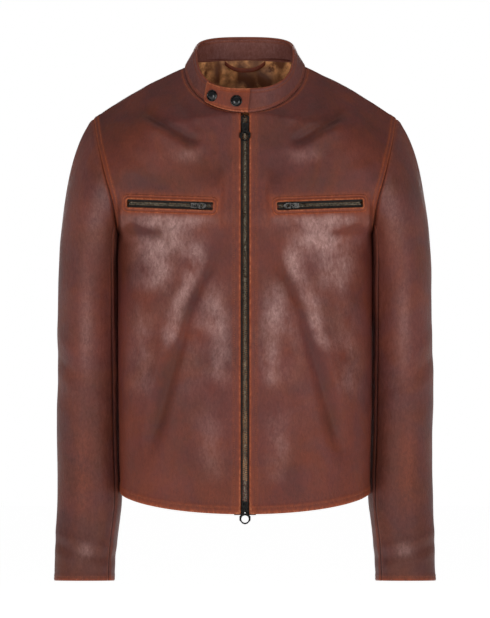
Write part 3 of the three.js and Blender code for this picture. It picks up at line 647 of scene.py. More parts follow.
def bend_at_armhole(piece, replaced=None):
    """Bakes the piece's placement into its mesh and hides the model part it replaces, if one is given."""
    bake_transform(piece)
    if replaced:
        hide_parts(replaced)


# ------------------------------------------------------------------ how the leather hangs
LONG_VALLEY = [(40, -240), (60, -306), (84, -350), (97, -400), (112, -450), (128, -515), (146, -590)]
LONG_RIDGE = [(80, -258), (72, -292), (90, -335), (104, -395), (122, -440), (146, -520)]
CHEST_CREASE = [(160, -60), (128, -78), (96, -98), (66, -116)]
SIDE_TUCK = [(170, -300), (164, -390), (158, -470)]
FRONT_CREASES = (  # path, width and height
    (CHEST_CREASE, 7, -5.6),
    ([(162, -74), (132, -92), (98, -112), (60, -134)], 12, 3.6),
    ([(100, -46), (84, -70), (66, -96)], 8, -1.6),
    ([(192, -120), (160, -140), (120, -160)], 14, -1.4),
    (LONG_VALLEY, 12, -7.0),
    (LONG_RIDGE, 15, 4.8),
    ([(40, -300), (45, -345), (60, -400), (78, -455)], 14, 2.6),
    ([(37, -330), (37, -400), (38, -460)], 9, 1.8),
    ([(45, -500), (44, -560), (40, -615)], 9, 1.8),
    ([(178, -232), (150, -244), (118, -250)], 8, -2.2),
    ([(168, -256), (135, -262), (104, -268)], 9, 1.8),
    ([(146, -285), (138, -330), (140, -380)], 13, 2.4),
    (SIDE_TUCK, 13, -1.8),
)
# Painted sheen: pale highlights painted on the chest below the pocket and on the crests of the long folds,
# taken off again in the valleys.
PAINTED_SHEEN_PATCHES = (  # centre, reach and amount
    ((118, -256), (36, 24), 0.62), ((132, -300), (22, 26), 0.52), ((110, -224), (56, 11), 0.62),
    ((88, -131), (32, 10), 0.13), ((75, -400), (60, 110), 0.07),
)
PAINTED_SHEEN_CRESTS = (
    ([(76, -236), (68, -285), (86, -330), (104, -385), (116, -430)], 13, 0.5),
    ([(38, -320), (37, -400), (38, -480)], 13, 0.3),
    ([(47, -490), (50, -560), (46, -620)], 16, 0.14),
    ([(46, -300), (50, -350), (62, -400)], 16, 0.25),
    ([(150, -330), (152, -420), (150, -500)], 18, 0.12),
    (LONG_VALLEY, 10, -0.35),
    ([(178, -232), (150, -243), (120, -248)], 7, -0.4),
)


def summed(shape, x, z, rows):
    return sum(shape(x, z, *row) for row in rows)


def front_folds(points, side):
    """Height in mm of one front's soft folds, on the wearer's left shape."""
    x, z = points[..., 0], points[..., 2]
    seed = 0 if side == "left" else 3
    total = summed(crease, x, z, FRONT_CREASES)
    total += 0.55 * ripples(points, 100, 11 + seed) + 0.22 * ripples(points, 36, 21 + seed)
    along_zip, _, up = np.moveaxis(to_pocket(points), -1, 0)
    flat = (1 - smooth(66, 84, np.abs(along_zip))) * (1 - smooth(14.5, 32, np.abs(up)))
    pucker = np.sin(along_zip * 2 * np.pi / 5.6 + 1.5 * np.sin(along_zip / 11) + seed)
    gathered = smooth(-42, -18, up) * smooth(-12.8, -15.5, up) * (1 - smooth(50, 66, np.abs(along_zip)))
    placket = np.where(z < -60, 1 - smooth(ZIP_EDGE + 9, ZIP_EDGE + 28, x), 0)
    return total * (1 - flat) * (1 - placket) * smooth(-658, -615, z) + 0.42 * pucker * gathered


def front_painted_sheen(points, side):
    """Where a painted sheen lies: the high chest below the pocket and the crests of the long folds."""
    x, z = points[..., 0], points[..., 2]
    seed = 0 if side == "left" else 5
    total = summed(patch, x, z, PAINTED_SHEEN_PATCHES) + summed(crease, x, z, PAINTED_SHEEN_CRESTS)
    fine = ripples(points * np.array([1.8, 1, 0.7]), 13, 62 + seed)
    total *= 1 + 0.42 * ripples(points, 38, 61 + seed) + 0.2 * fine
    return np.clip(total, 0, 0.7)


def stitched_edge(d, line, rise=0.7, roll=1.2):
    """Height near a turned and topstitched edge: rolled off at the edge, full up to the stitch line,
    pulled in along it."""
    full = rise * (1 - smooth(line + 1, line + 6, d))
    return full - roll * hump(d, 1.1) - 0.55 * hump(d - line, 0.9)


def seam_dip(d, depth=1.2, width=1.5):
    return -depth * hump(d, width)


def line_across(points, out, distance, d, rows):
    """Where the given distance is reached in each of these grid rows, with the outward direction."""
    found, facing = [], []
    for j in rows:
        rising = distance[j, -1] > distance[j, 0]
        steps = distance[j] if rising else distance[j, ::-1]
        order = slice(None) if rising else slice(None, None, -1)
        at = np.interp(d, steps, np.arange(len(steps)))
        i = min(int(at), len(steps) - 2)
        for source, target in ((points, found), (out, facing)):
            row = source[j][order]
            target.append(row[i] + (row[i + 1] - row[i]) * (at - i))
    return np.array(found), np.array(facing)


def line_up(points, out, distance, d, columns):
    return line_across(points.transpose(1, 0, 2), out.transpose(1, 0, 2), distance.T, d, columns)


STITCH_RINGS = [(-0.5, 0.0, -0.5), (-0.38, 0.7, 0.25), (0.0, 1.0, 0.6), (0.38, 0.7, 0.25), (0.5, 0.0, -0.5)]
STITCH_SIDES = 6


def stitches(rows, pitch=3.3, length=2.4, radius=0.36):
    """Vertices in mm and faces of sewn stitches along rows of (points, outward directions): each a
    short thread lying proud in its middle and diving into the leather at both ends."""
    vertices, faces = [], []
    for points, out in rows:
        lengths = np.concatenate([[0], np.cumsum(np.linalg.norm(np.diff(points, axis=0), axis=1))])

        def at(rows, distance):
            return np.array([np.interp(distance, lengths, rows[:, a]) for a in range(3)])

        count = max(1, int(lengths[-1] / pitch))
        for k in range(count):
            place = (k + 0.5) * lengths[-1] / count
            middle, up = at(points, place), at(out, place)
            line = at(points, place + 0.5 * length) - at(points, place - 0.5 * length)
            line /= np.linalg.norm(line) + 1e-9
            up -= line * (up @ line)
            up /= np.linalg.norm(up)
            across = np.cross(line, up)
            base = len(vertices)
            for share, size, rise in STITCH_RINGS:
                for q in range(STITCH_SIDES):
                    angle = 2 * math.pi * q / STITCH_SIDES
                    offset = across * math.cos(angle) * size + up * (math.sin(angle) * size * 0.8 + rise)
                    vertices.append(middle + line * share * length + offset * radius)
            for r in range(len(STITCH_RINGS) - 1):
                low = base + r * STITCH_SIDES
                high = low + STITCH_SIDES
                for q in range(STITCH_SIDES):
                    n = (q + 1) % STITCH_SIDES
                    faces.append((low + q, low + n, high + n, high + q))
    return vertices, faces


def sewn(name, rows, side="left", **settings):
    vertices, faces = stitches(rows, **settings)
    piece = new_piece(name, for_side(np.array(vertices), side), faces, THREAD)
    in_edit(piece)
    facing_out()
    out_of_edit(piece, 60)
    return piece


def stations(values, low, high=2.0):
    """The numbers of the grid lines whose station lies between low and high."""
    return [j for j, value in enumerate(values) if low < value < high]


def wear(rubbed, dye_tone_and_painted_shading, painted_sheen):
    return {"rubbed": np.clip(rubbed, 0, 1), "dye_tone_and_painted_shading": dye_tone_and_painted_shading, "painted_sheen": np.clip(painted_sheen, 0, 1)}


FINISH_OF = {"leather": (LEATHER, 1.4), "lining": (SATIN, 1.0)}  # cloth and thickness


def inside_layer(name, points, slot, painted_fold_shading=0.7, **settings):
    """A leather facing or a satin lining inside the jacket."""
    made_of, thickness = FINISH_OF[slot]
    # The crest value dims the satin's colour as painted shade: evenly at its default, and lighter on fold
    # crests and darker in hollows where given point by point.
    attributes = {"rubbed": 0.15, "painted_fold_shading": painted_fold_shading}
    return sheet_object(name, points, made_of, thickness, attributes=attributes, **settings)


def stops(span, whole):
    """Stations over a span, as close as that many would be over the whole face."""
    return np.linspace(*span, max(8, int(whole * (span[1] - span[0]))))

# ------------------------------------------------------------------ fronts
# Distances in mm from an edge to its rows of stitches.
HEM_LINE, PLACKET_LINE, NECK_LINE, ARMHOLE_LINES = 9, 9.8, 4.5, (1.8, 7.2)
LEATHER_MM = 1.6
WINDOW = (67, 9)  # half length and half height of the pocket's opening
front_us = spaced(0, 1, 84, 0.05, 14)
front_vs = spaced(0, 1, 215, 0.022, 9)


def above_armpit(v):
    return smooth(ARMPIT - 0.01, ARMPIT + 0.01, v)


def side_relief(d, above):
    """Height along the armhole, with its two rows of stitches, and along the side seam below it."""
    inner, outer = ARMHOLE_LINES
    armhole = stitched_edge(d, outer, 1.2, 1.2) - 0.5 * hump(d - inner, 0.8)
    return above * armhole + (1 - above) * seam_dip(d)


def front_wear(base, side, pocket, edges, on_placket, above):
    """How rubbed the front is, and its painted shade, painted light and painted sheen, from point to point.
    """
    left, right, low, _ = edges
    x, z = base[..., 0], base[..., 2]
    off = np.maximum(np.maximum(np.abs(pocket[..., 0]) - 70.5, np.abs(pocket[..., 2]) - 12.5), 0)
    placket = 0.8 * hump(left - 1.4, 1.5) + 0.2 * hump(left - 4.5, 4.5) + 0.16 * hump(left - 11.5, 2.2)
    armhole = 0.5 * hump(right - 1.2, 1.4) + 0.5 * hump(right - 7.6, 1.5) + 0.16 * hump(right - 4, 5)
    rubbed = on_placket * placket + (1 - on_placket) * 0.4 * hump(left - 4.5, 2) + above * armhole
    rubbed += 0.55 * hump(low, 3.0) + 0.3 * hump(low - 4, 6) + 0.25 * hump(low - HEM_LINE - 1.6, 1.6)
    rubbed += 0.1 * smooth(60, 14, low) + 0.34 * hump(off, 4.5) + 0.08 * hump(off, 14)
    rubbed += crease(x, z, [(34, -150), (30, -200), (33, -250)], 8, 0.16)
    # Painted shade darkens the upper chest, a patch above the pocket and the valleys of the folds; painted
    # light lifts the long ridge and the sides beside the sleeves, and a band low on the front is made
    # lighter; the ripples are the dye's random drift.
    dye_tone_and_painted_shading = 0.06 - 0.12 * smooth(-200, -90, z) + 0.1 * ripples(base, 70, 71 if side == "left" else 74)
    dye_tone_and_painted_shading += 0.2 * hump(right, 10) * (1 - above) - patch(x, z, (115, -170), (75, 26), 0.26)
    dye_tone_and_painted_shading += summed(crease, x, z, (
        (LONG_VALLEY, 11, -0.36), (CHEST_CREASE, 9, -0.5), (SIDE_TUCK, 9, -0.12), (LONG_RIDGE, 12, 0.12),
        ([(178, -232), (150, -243), (112, -250)], 8, -0.2),
        ([(150, -520), (120, -600), (70, -630)], 26, 0.16),
    ))
    return wear(rubbed, dye_tone_and_painted_shading, front_painted_sheen(base, side))


for side in SIDES:
    base = grid(chest_face, front_us, front_vs)
    out = outward(base)
    edges = left, right, low, high = edge_distances(base)
    v = np.broadcast_to(front_vs[:, None], left.shape)
    on_placket = smooth(FRONT_NECK + 0.003, FRONT_NECK - 0.003, v)
    above = above_armpit(v)
    waves = 0.12 * np.sin(low * 2 * np.pi / 5.2) * hump(left - 10.5, 3)
    neck = seam_dip(left, 0.5, 1.2) - 0.3 * hump(left - NECK_LINE, 1) + seam_dip(high, 0.6, 1.2)
    relief = front_folds(base, side) * smooth(0, 9, right) + side_relief(right, above)
    relief += on_placket * (stitched_edge(left, PLACKET_LINE, 0.9) + waves) + (1 - on_placket) * neck
    relief += stitched_edge(low, HEM_LINE, 0.7, 0.9)
    relief += 0.15 * np.sin(left * 2 * np.pi / 6.3) * hump(low - HEM_LINE, 4)
    points = base + out * relief[..., None]
    pocket = to_pocket(base)
    centre = np.abs(pocket[:-1, :-1] + pocket[1:, 1:]) / 2
    mirrored = side == "right"
    panel = sheet_object(
        f"front_{side}", for_side(points, side), LEATHER, LEATHER_MM, flip=mirrored, round_edge=0.35,
        keep=~((centre[..., 0] < WINDOW[0]) & (centre[..., 2] < WINDOW[1])),
        attributes=front_wear(base, side, pocket, edges, on_placket, above),
    )
    finish_piece(panel, "shell", (f"front_panel_{side}", f"front_placket_{side}"))
    seams = [line_across(points, out, left, PLACKET_LINE, stations(front_vs, -1, FRONT_NECK - 0.004))]
    upper = stations(front_vs, ARMPIT + 0.012)
    seams += [line_across(points, out, right, d, upper) for d in ARMHOLE_LINES]
    seams.append(line_across(points, out, left, NECK_LINE, stations(front_vs, FRONT_NECK + 0.003, 0.995)))
    seams.append(line_up(points, out, low, HEM_LINE, range(len(front_us))))
    finish_piece(sewn(f"front_stitches_{side}", seams, side), "shell")

    # Inside: leather facings along the zip and hem, and the satin lining between them.
    for name, u_range, v_range, depth, slot in (
        ("front_facing", (0.0, 0.135), (0.004, 0.998), 3.4, "leather"),
        ("hem_facing", (0.13, 0.994), (0.004, 0.072), 3.4, "leather"),
        ("front_lining", (0.125, 0.994), (0.066, 0.998), 4.4, "lining"),
    ):
        inner = grid(chest_face, stops(u_range, 70), stops(v_range, 150))
        sunk = front_folds(inner, side) - depth
        if slot == "lining":  # the lining passes behind the pocket bag
            across, _, up = np.moveaxis(to_pocket(inner), -1, 0)
            beside = 1 - smooth(75, 100, np.abs(across))
            sunk += -8.4 * smooth(-190, -165, up) * (1 - smooth(20, 45, up)) * beside
            sunk -= 1.2 * np.abs(ripples(inner, 40, 81, (1.6, 1, 0.5)))
        placed = for_side(inner + outward(inner) * sunk[..., None], side)
        cloth = inside_layer(f"{name}_inside_{side}", placed, slot, flip=mirrored, round_edge=0.2)
        finish_piece(cloth, "shell", (f"{name}_{side}",))

# ------------------------------------------------------------------ back
BACK_CREASES = (
    ([(172, -240), (135, -330), (105, -430), (90, -520)], 18, 2.6),
    ([(178, -290), (150, -380), (130, -480)], 13, -2.6),
    ([(196, -150), (160, -190), (120, -215)], 14, -2.0),
)
WAIST_CREASES = (
    ([(-70, -560), (0, -545), (75, -562)], 12, 1.6),
    ([(-85, -520), (0, -500), (80, -522)], 12, -1.6),
)


def back_folds(points):
    x, z = points[..., 0], points[..., 2]
    total = 1.1 * ripples(points, 150, 31, (1.2, 1, 0.6)) + 0.3 * ripples(points, 45, 32)
    total += summed(crease, np.abs(x), z, BACK_CREASES) + summed(crease, x, z, WAIST_CREASES)
    return total * smooth(-655, -610, z)


back_us = spaced(-1, 1, 150, 0.03, 10)
back_vs = spaced(0, 1, 205, 0.022, 9)
base = grid(back_face, back_us, back_vs)
out = outward(base, flip=True)
left, right, low, high = edge_distances(base)
side_gap = np.minimum(left, right)
above = above_armpit(np.broadcast_to(back_vs[:, None], left.shape))
relief = back_folds(base) * smooth(0, 9, side_gap) + side_relief(side_gap, above)
relief += stitched_edge(low, HEM_LINE, 0.7, 0.9) + seam_dip(high) - 0.4 * hump(high - NECK_LINE, 1)
points = base + out * relief[..., None]
rubbed = above * (0.5 * hump(side_gap - 1.2, 1.4) + 0.5 * hump(side_gap - 7.6, 1.5))
rubbed += 0.55 * hump(low, 3) + 0.3 * hump(low - 4, 6) + 0.3 * hump(side_gap - 2, 2.5)
rubbed += 0.3 * hump(high - NECK_LINE, 2)
# Painted sheen on the upper back, either side of the middle.
painted_sheen = patch(np.abs(base[..., 0]), base[..., 2], (85, -150), (60, 45), 0.3)
back_wear = wear(rubbed, 0.03 + 0.1 * ripples(base, 80, 77), painted_sheen * (1 + 0.4 * ripples(base, 30, 63)))
back = sheet_object("back", points, LEATHER, LEATHER_MM, flip=True, round_edge=0.35, attributes=back_wear)
finish_piece(back, "shell", ("back_panel",))
upper = stations(back_vs, ARMPIT + 0.012)
seams = [line_across(points, out, gap, d, upper) for gap in (left, right) for d in ARMHOLE_LINES]
seams.append(line_up(points, out, low, HEM_LINE, range(len(back_us))))
seams.append(line_up(points, out, high, NECK_LINE, range(2, len(back_us) - 2)))
finish_piece(sewn("back_stitches", seams), "shell")

for name, v_range, depth, slot in (
    ("hem_facing", (0.004, 0.072), 3.4, "leather"), ("lining", (0.066, 0.998), 4.4, "lining"),
):
    us, vs = np.linspace(-0.994, 0.994, 130), stops(v_range, 150)
    inner = grid(back_face, us, vs)
    sunk, shade = back_folds(inner) - depth, 0.7
    if slot == "lining":  # the lining is cut loose, and its slack hangs in folds from the neck
        z, up = inner[..., 2].copy(), vs[:, None]
        hang = np.clip(1.2 * ripples(inner, 27, 91, (1.5, 1, 0.7)), -1, 1) * smooth(-160, -30, z)
        sunk += -4.5 * smooth(-340, -260, z) * smooth(1, 0.97, up)
        sunk += -1.5 * np.abs(ripples(inner, 42, 84, (1.6, 1, 0.5)))
        sunk += 3.6 * hang * smooth(0.998, 0.965, up) - 2.8
        # Painted light on the crests of the lining's folds and painted shade in their hollows.
        shade = 0.66 + 1.0 * hang
        inner[..., 2] += 6.5 * smooth(0.93, 1.0, up) * smooth(0.42, 0.3, np.abs(us))
    placed = inner + outward(inner, flip=True) * sunk[..., None]
    title, node_name = {"leather": ("hem_facing_inside_back", "hem_facing_back"),
                        "lining": ("back_lining_inside", "back_lining")}[slot]
    cloth = inside_layer(title, placed, slot, shade, flip=True, round_edge=0.2)
    finish_piece(cloth, "shell", (node_name,))


def tube_object(name, rings, gap=None):
    """A closed roll of leather: each ring runs the whole way round, and where gap is true it is open."""
    rows, columns = rings.shape[:2]
    faces = []
    for j in range(rows):
        for i in range(columns):
            k, n = (i + 1) % columns, (j + 1) % rows
            if gap is None or not (gap[i] or gap[k]):
                faces.append((j * columns + i, n * columns + i, n * columns + k, j * columns + k))
    piece = new_piece(name, rings, faces, LEATHER)
    in_edit(piece)
    bpy.ops.mesh.delete_loose()
    bpy.ops.mesh.select_all(action="SELECT")
    bpy.ops.mesh.fill_holes(sides=0)
    bpy.ops.mesh.normals_make_consistent(inside=False)
    out_of_edit(piece, 50)
    return piece


# ------------------------------------------------------------------ sleeves
FRONT_SEAM, BACK_SEAM = 0.4, 0.64  # shares of the way round the sleeve
CUFF_LINE = 6
ROLL_AT, ROLL = 4.9, 3.4  # how far behind the seam the allowances' roll lies, and its radius
TURNS = np.linspace(0, 2 * np.pi, 11)[:-1]
ELBOW_FOLDS = (  # level, width and height
    (-415, 13, 1.6), (-446, 9, -1.5), (-470, 12, 1.3), (-520, 14, 0.9),
    (-694, 7, 1.3), (-709, 6, -1.2), (-724, 7, 1.0),
)
RESTING = [  # level, and how far the sleeve's inner side swells out to lie against the body
    [-660, 0.3], [-600, 3.0], [-540, 4.6], [-480, 6.2], [-400, 7.4], [-330, 7.2], [-280, 7.5],
    [-255, 7.0], [-225, 1.0], [-60, 0.0],
]


def arm_folds(around, s, points, side):
    seed = 41 if side == "left" else 44
    total = 0.7 * ripples(points, 130, seed, (0.8, 0.8, 1)) + 0.22 * ripples(points, 46, seed + 1)
    facing_front = (0.5 + 0.5 * np.cos(2 * np.pi * (around - 0.25))) ** 2
    slant = 30 * np.cos(2 * np.pi * (around - 0.4))
    for level, width, height in ELBOW_FOLDS:
        offset = slant * (0.45 if level < -600 else 1)
        total += height * hump(points[..., 2] + offset - level, width) * facing_front
    return total * smooth(0.01, 0.14, s) * smooth(1.0, 0.965, s)


def sleeve_panel(name, side, us):
    vs = spaced(-0.012, 1, 232, 0.022, 8)
    base = grid(sleeve_face, us, vs)
    out = outward(base)
    left, right, high, low = edge_distances(base)
    around, s = np.meshgrid(us, vs)
    z = base[..., 2]
    relief = arm_folds(around, s, base, side) * smooth(0, 8, left) * smooth(0, 8, right)
    relief += sum(seam_dip(edge) + 0.5 * hump(edge - 4, 3) for edge in (left, right))
    resting = along(RESTING, np.clip(z, RESTING[0][0], RESTING[-1][0]))[..., 0]
    relief += resting * hump(around - 0.49, 0.12) * smooth(1, 9, high)
    relief += -2.6 * (1 - smooth(3.2, 6.5, high)) + 0.9 * hump(high - 12, 6)
    relief += stitched_edge(low, CUFF_LINE, 0.6, 0.8)
    points = base + out * relief[..., None]
    rubbed = 0.5 * hump(low, 3.0) + 0.2 * hump(low - 4, 5) + 0.3 * hump(high - 6, 3)
    rubbed += 0.2 * hump(left - 3.5, 2) + 0.2 * hump(right - 3.5, 2)
    rubbed += patch(around, z, (0.22, -600), (0.05, 60), 0.22)
    # Darker towards the cuff, with the dye's random drift; painted shade darkens the inner side next to the
    # body.
    dye_tone_and_painted_shading = -0.3 * smooth(-480, -680, z) + 0.1 * ripples(base, 80, 78)
    dye_tone_and_painted_shading -= patch(around, z, (0.42, -480), (0.08, 150), 0.04)
    # Painted sheen: pale highlights down the front of the sleeve and near the cuff, and painted light on the
    # inner side where it lies against the body.
    painted_sheen = 0.04 + summed(patch, around, z, (
        ((0.25, -385), (0.03, 60), 0.19), ((0.25, -712), (0.04, 10), 0.3),
        ((0.27, -200), (0.05, 60), 0.12), ((0.47, -450), (0.07, 200), 0.08),
    ))
    piece = sheet_object(f"sleeve_{name}_leather_{side}", for_side(points, side), LEATHER, LEATHER_MM,
                         flip=side == "right", round_edge=0.3, attributes=wear(rubbed, dye_tone_and_painted_shading, painted_sheen))
    bend_at_armhole(piece, f"sleeve_{name}_{side}")
    seams = [line_up(points, out, low, CUFF_LINE, range(len(us)))]
    thread = sewn(f"sleeve_{name}_stitches_{side}", seams, side)
    finish_piece(thread, f"sleeve_{side}")


for side in SIDES:
    sleeve_panel("upper", side, np.linspace(BACK_SEAM - 1 + 0.0012, FRONT_SEAM - 0.0012, 104))
    sleeve_panel("under", side, np.linspace(FRONT_SEAM + 0.0012, BACK_SEAM - 0.0012, 36))

    # The armhole's seam allowances are turned inside together, in a roll behind the seam.
    head = grid(sleeve_face, np.linspace(0, 1, 97)[:-1], np.array([0.0, 0.008, 0.016]))
    inward = -outward(head, ring=True)[1]
    beside = np.cross(np.roll(head[0], -1, 0) - np.roll(head[0], 1, 0), inward)
    beside /= np.linalg.norm(beside, axis=-1, keepdims=True)
    roll = [head[0] + inward * (ROLL_AT + ROLL * math.cos(a)) + beside * ROLL * math.sin(a) for a in TURNS]
    allowance = tube_object(f"armhole_seam_allowance_{side}", for_side(np.array(roll), side))
    bend_at_armhole(allowance)
    for name, v_range, depth, slack, slot in (
        ("cuff_facing", (0.95, 0.998), 3.2, 0, "leather"), ("sleeve_lining", (0.03, 0.955), 4.2, 1, "lining"),
    ):
        us, vs = np.linspace(0, 1, 73)[:-1], stops(v_range, 120)
        inner = grid(sleeve_face, us, vs)
        sunk = -depth - slack * np.abs(ripples(inner, 40, 88, (1, 1, 0.6)))
        sunk += arm_folds(*np.meshgrid(us, vs), inner, side) - 3 * smooth(-280, -190, inner[..., 2])
        placed = for_side(inner + outward(inner, ring=True) * sunk[..., None], side)
        cloth = inside_layer(f"{name}_inside_{side}", placed, slot, flip=side == "right", ring=True)
        bend_at_armhole(cloth, f"{name}_{side}")

# ------------------------------------------------------------------ collar
COLLAR_MM = 3.3
TOP_LINE, FOOT_LINE = 6, 5.5
us = spaced(0.8, 359.2, 290, 0.012, 7)
vs = spaced(-0.03, 1, 22, 0.12, 6)
base = grid(collar_face, us, vs)
out = outward(base)
left, right, low, high = edge_distances(base)
end_gap = np.minimum(left, right)
relief = stitched_edge(high, TOP_LINE, 0.3, 0.8) - 0.9 * hump(low, 1.8) - 0.3 * hump(low - FOOT_LINE, 1.0)
relief += 0.4 * ripples(base, 60, 51) * smooth(0, 8, low) * smooth(0, 6, high) - 0.8 * hump(end_gap, 1.5)
points = base + out * relief[..., None]
rubbed = 0.5 * hump(high, 2.0) + 0.2 * hump(high - 6.5, 1.5) + 0.28 * hump(low - 3, 2.0)
rubbed += 0.5 * hump(end_gap, 3)
mottled = 0.08 * ripples(base, 50, 79)
# The collar's inside face is painted lighter and given a painted sheen: painted light.
collar = sheet_object("collar", points, LEATHER, COLLAR_MM, round_edge=0.8,
                      attributes=wear(rubbed, mottled, 0.06), inside={"dye_tone_and_painted_shading": mottled + 0.5, "painted_sheen": 0.2})
finish_piece(collar, "shell", ("collar_band", "collar_facing"))
inner = range(4, len(us) - 4)
seams = [line_up(points, out, high, TOP_LINE, inner), line_up(points, out, low, FOOT_LINE, inner),
         line_up(points - out * COLLAR_MM, -out, high, TOP_LINE, inner)]
finish_piece(sewn("collar_stitches", seams), "shell")

# A rolled binding closes the neck seam inside, between the collar and the lining.
OPEN_DEGREES = 4  # to each side of the zip
us = np.linspace(0, 360, 145)[:-1]
inward = -outward(grid(collar_face, us, np.array([0.0, 0.05])), ring=True)[0]
nape = smooth(60, 120, 180 - np.abs(180 - us))[:, None] * np.array([0, 0, 5.0])
foot = neckline(us) + nape
tube = [foot + inward * (3.4 + 1.5 * math.cos(a)) + np.array([0, 0, 1.4 + 1.7 * math.sin(a)]) for a in TURNS]
front_gap = np.cos(np.radians(us)) > math.cos(math.radians(OPEN_DEGREES))
finish_piece(tube_object("neck_binding", np.array(tube), front_gap), "shell")

# The tab wraps the wearer's right end of the collar from its sewn end on the wearer's left.
TAB_FROM, TAB_TO, TAB_LIFT, TAB_LINE = 2.6, -41.0, 3.6, 3.6


def tab_face(u, v):
    return collar_face(u + hump(u - TAB_TO, 2.5) * (np.abs(v - 0.5) * 2) ** 6 * 1.2, v)


def bend_at_tab(piece):
    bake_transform(piece)


us = spaced(TAB_TO, TAB_FROM, 70, 0.06, 9)
vs = spaced(-0.02, 0.97, 18, 0.12, 6)
base = grid(tab_face, us, vs)
out = outward(base)
left, right, low, high = edge_distances(base)
rim = np.minimum(np.minimum(left, right + 100), np.minimum(low, high))  # no rim at the sewn end
relief = TAB_LIFT + 1.4 + 0.35 * (1 - hump(rim, 2)) - 0.5 * hump(rim - TAB_LINE, 0.8) - 0.5 * hump(rim, 0.8)
points = base + out * relief[..., None]
rubbed = np.clip(0.9 * hump(rim - 0.6, 1.4) + 0.4 * hump(rim - 4.4, 1.5) + 0.28, 0, 1)
tab = sheet_object("collar_tab_leather", points, LEATHER, 2.8, attributes={"rubbed": rubbed, "dye_tone_and_painted_shading": 0.05},
                   round_edge=0.7)
bend_at_tab(tab)
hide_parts("collar_tab")
inner = range(3, len(us) - 2)
seams = [line_up(points, out, edge, TAB_LINE, inner) for edge in (low, high)]
seams.append(line_across(points, out, left, TAB_LINE, range(3, len(vs) - 3)))
bend_at_tab(sewn("collar_tab_stitches", seams, pitch=2.9, length=2.1, radius=0.32))

# ------------------------------------------------------------------ snaps, zips and the hanger loop
SNAP_PROFILE = [  # radius and height
    (0, 2.5), (2.2, 2.42), (4.2, 2.1), (5.6, 1.5), (6.3, 0.95), (6.6, 0.7), (6.9, 1.25), (7.5, 1.65),
    (8.1, 1.5), (8.6, 0.9), (8.6, 0.0), (0, 0.0),
]
ENAMEL_RADIUS = 6.4  # past it is the cap's bare metal rim
SNAP_HEIGHT = 5.3  # from the collar's face to the foot of a cap
for number, degrees in ((1, -6.6), (2, -31.5)):
    near = grid(collar_face, degrees + np.array([-0.5, 0, 0.5]), np.array([0.38, 0.43, 0.48]))
    facing = outward(near)[1, 1]
    across = near[1, 2] - near[1, 0]
    across /= np.linalg.norm(across)
    across -= facing * (facing @ across)
    across /= np.linalg.norm(across)
    lines = [(i, i + 1) for i in range(len(SNAP_PROFILE) - 1)]
    rounded = [(radius, 0, height) for radius, height in SNAP_PROFILE]
    cap = new_piece(f"snap_cap_dome_{number}", rounded, [], ENAMEL, NICKEL, edges=lines)
    in_edit(cap)
    bpy.ops.mesh.spin(steps=36, angle=2 * math.pi, center=(0, 0, 0), axis=(0, 0, 1))
    bpy.ops.mesh.select_all(action="SELECT")
    facing_out()
    out_of_edit(cap, 35)
    for face in cap.data.polygons:
        face.material_index = int(math.hypot(face.center.x, face.center.y) > ENAMEL_RADIUS * MM)
    place_mesh(cap, (across, np.cross(facing, across), facing), near[1, 1] + facing * SNAP_HEIGHT)
    finish_piece(cap, "collar_tab", (f"snap_cap_{number}",))


def zip_row(name, pitch, count, reach, overlap, depth, tall):
    """A row of zip teeth up +Z: each grips the tape at x = reach and its narrower head passes the
    centre line by overlap."""
    bpy.ops.object.select_all(action="DESELECT")
    bpy.ops.mesh.primitive_cube_add(size=1, location=(0, 0, 0))
    tooth = bpy.context.active_object
    tooth.name = tooth.data.name = name
    in_edit(tooth)
    bpy.ops.transform.resize(value=((reach - 0.5) * MM, depth * MM, tall * MM))
    bpy.ops.transform.translate(value=((reach + 0.5) / 2 * MM, 0, 0))
    bpy.ops.mesh.select_all(action="DESELECT")
    bpy.ops.object.mode_set(mode="OBJECT")
    for face in tooth.data.polygons:
        face.select = face.normal.x < -0.9
    bpy.ops.object.mode_set(mode="EDIT")
    bpy.ops.mesh.extrude_region_move(TRANSFORM_OT_translate={"value": (-(0.5 + overlap) * MM, 0, 0)})
    bpy.ops.transform.resize(value=(1, 0.7, 0.62))
    bpy.ops.mesh.select_all(action="SELECT")
    bpy.ops.mesh.bevel(offset=0.16 * MM, segments=1)
    bpy.ops.object.mode_set(mode="OBJECT")
    apply_modifier(tooth, "ARRAY", use_relative_offset=False, use_constant_offset=True,
                   constant_offset_displace=(0, 0, pitch * MM), count=count)
    tooth.data.materials.append(BRASS)
    return tooth


PITCH, FIRST_TOOTH = 2.8, 9.8  # the front zip, in mm
POCKET_PITCH, POCKET_FIRST = 2.1, -60.5
for side in SIDES:
    row = zip_row(f"zip_teeth_row_{side}", PITCH, 205, 3.3, 0.9, 2.6, 1.2)
    lift = FIRST_TOOTH + (0 if side == "left" else PITCH / 2)
    place_mesh(row, ZIP_AXES, ZIP_AT + ZIP_AXES.T @ np.array([0, 2.5, lift]), side)
    finish_piece(row, "shell", (f"zip_teeth_{side}",))
    for level, sign in (("upper", 1), ("lower", -1)):
        row = zip_row(f"pocket_teeth_{level}_row_{side}", POCKET_PITCH, 58, 2.2, 0.55, 2.0, 1.05)
        # The row's own +Z runs along the pocket's zip, and its +X up or down across it.
        begin = POCKET_FIRST + (0 if sign > 0 else POCKET_PITCH / 2)
        start = POCKET_AT + POCKET_AXES.T @ np.array([begin, 2.1, 0])
        place_mesh(row, (POCKET_AXES[2] * sign, POCKET_AXES[1], POCKET_AXES[0]), start, side)
        finish_piece(row, "shell", (f"pocket_teeth_{level}_{side}",))

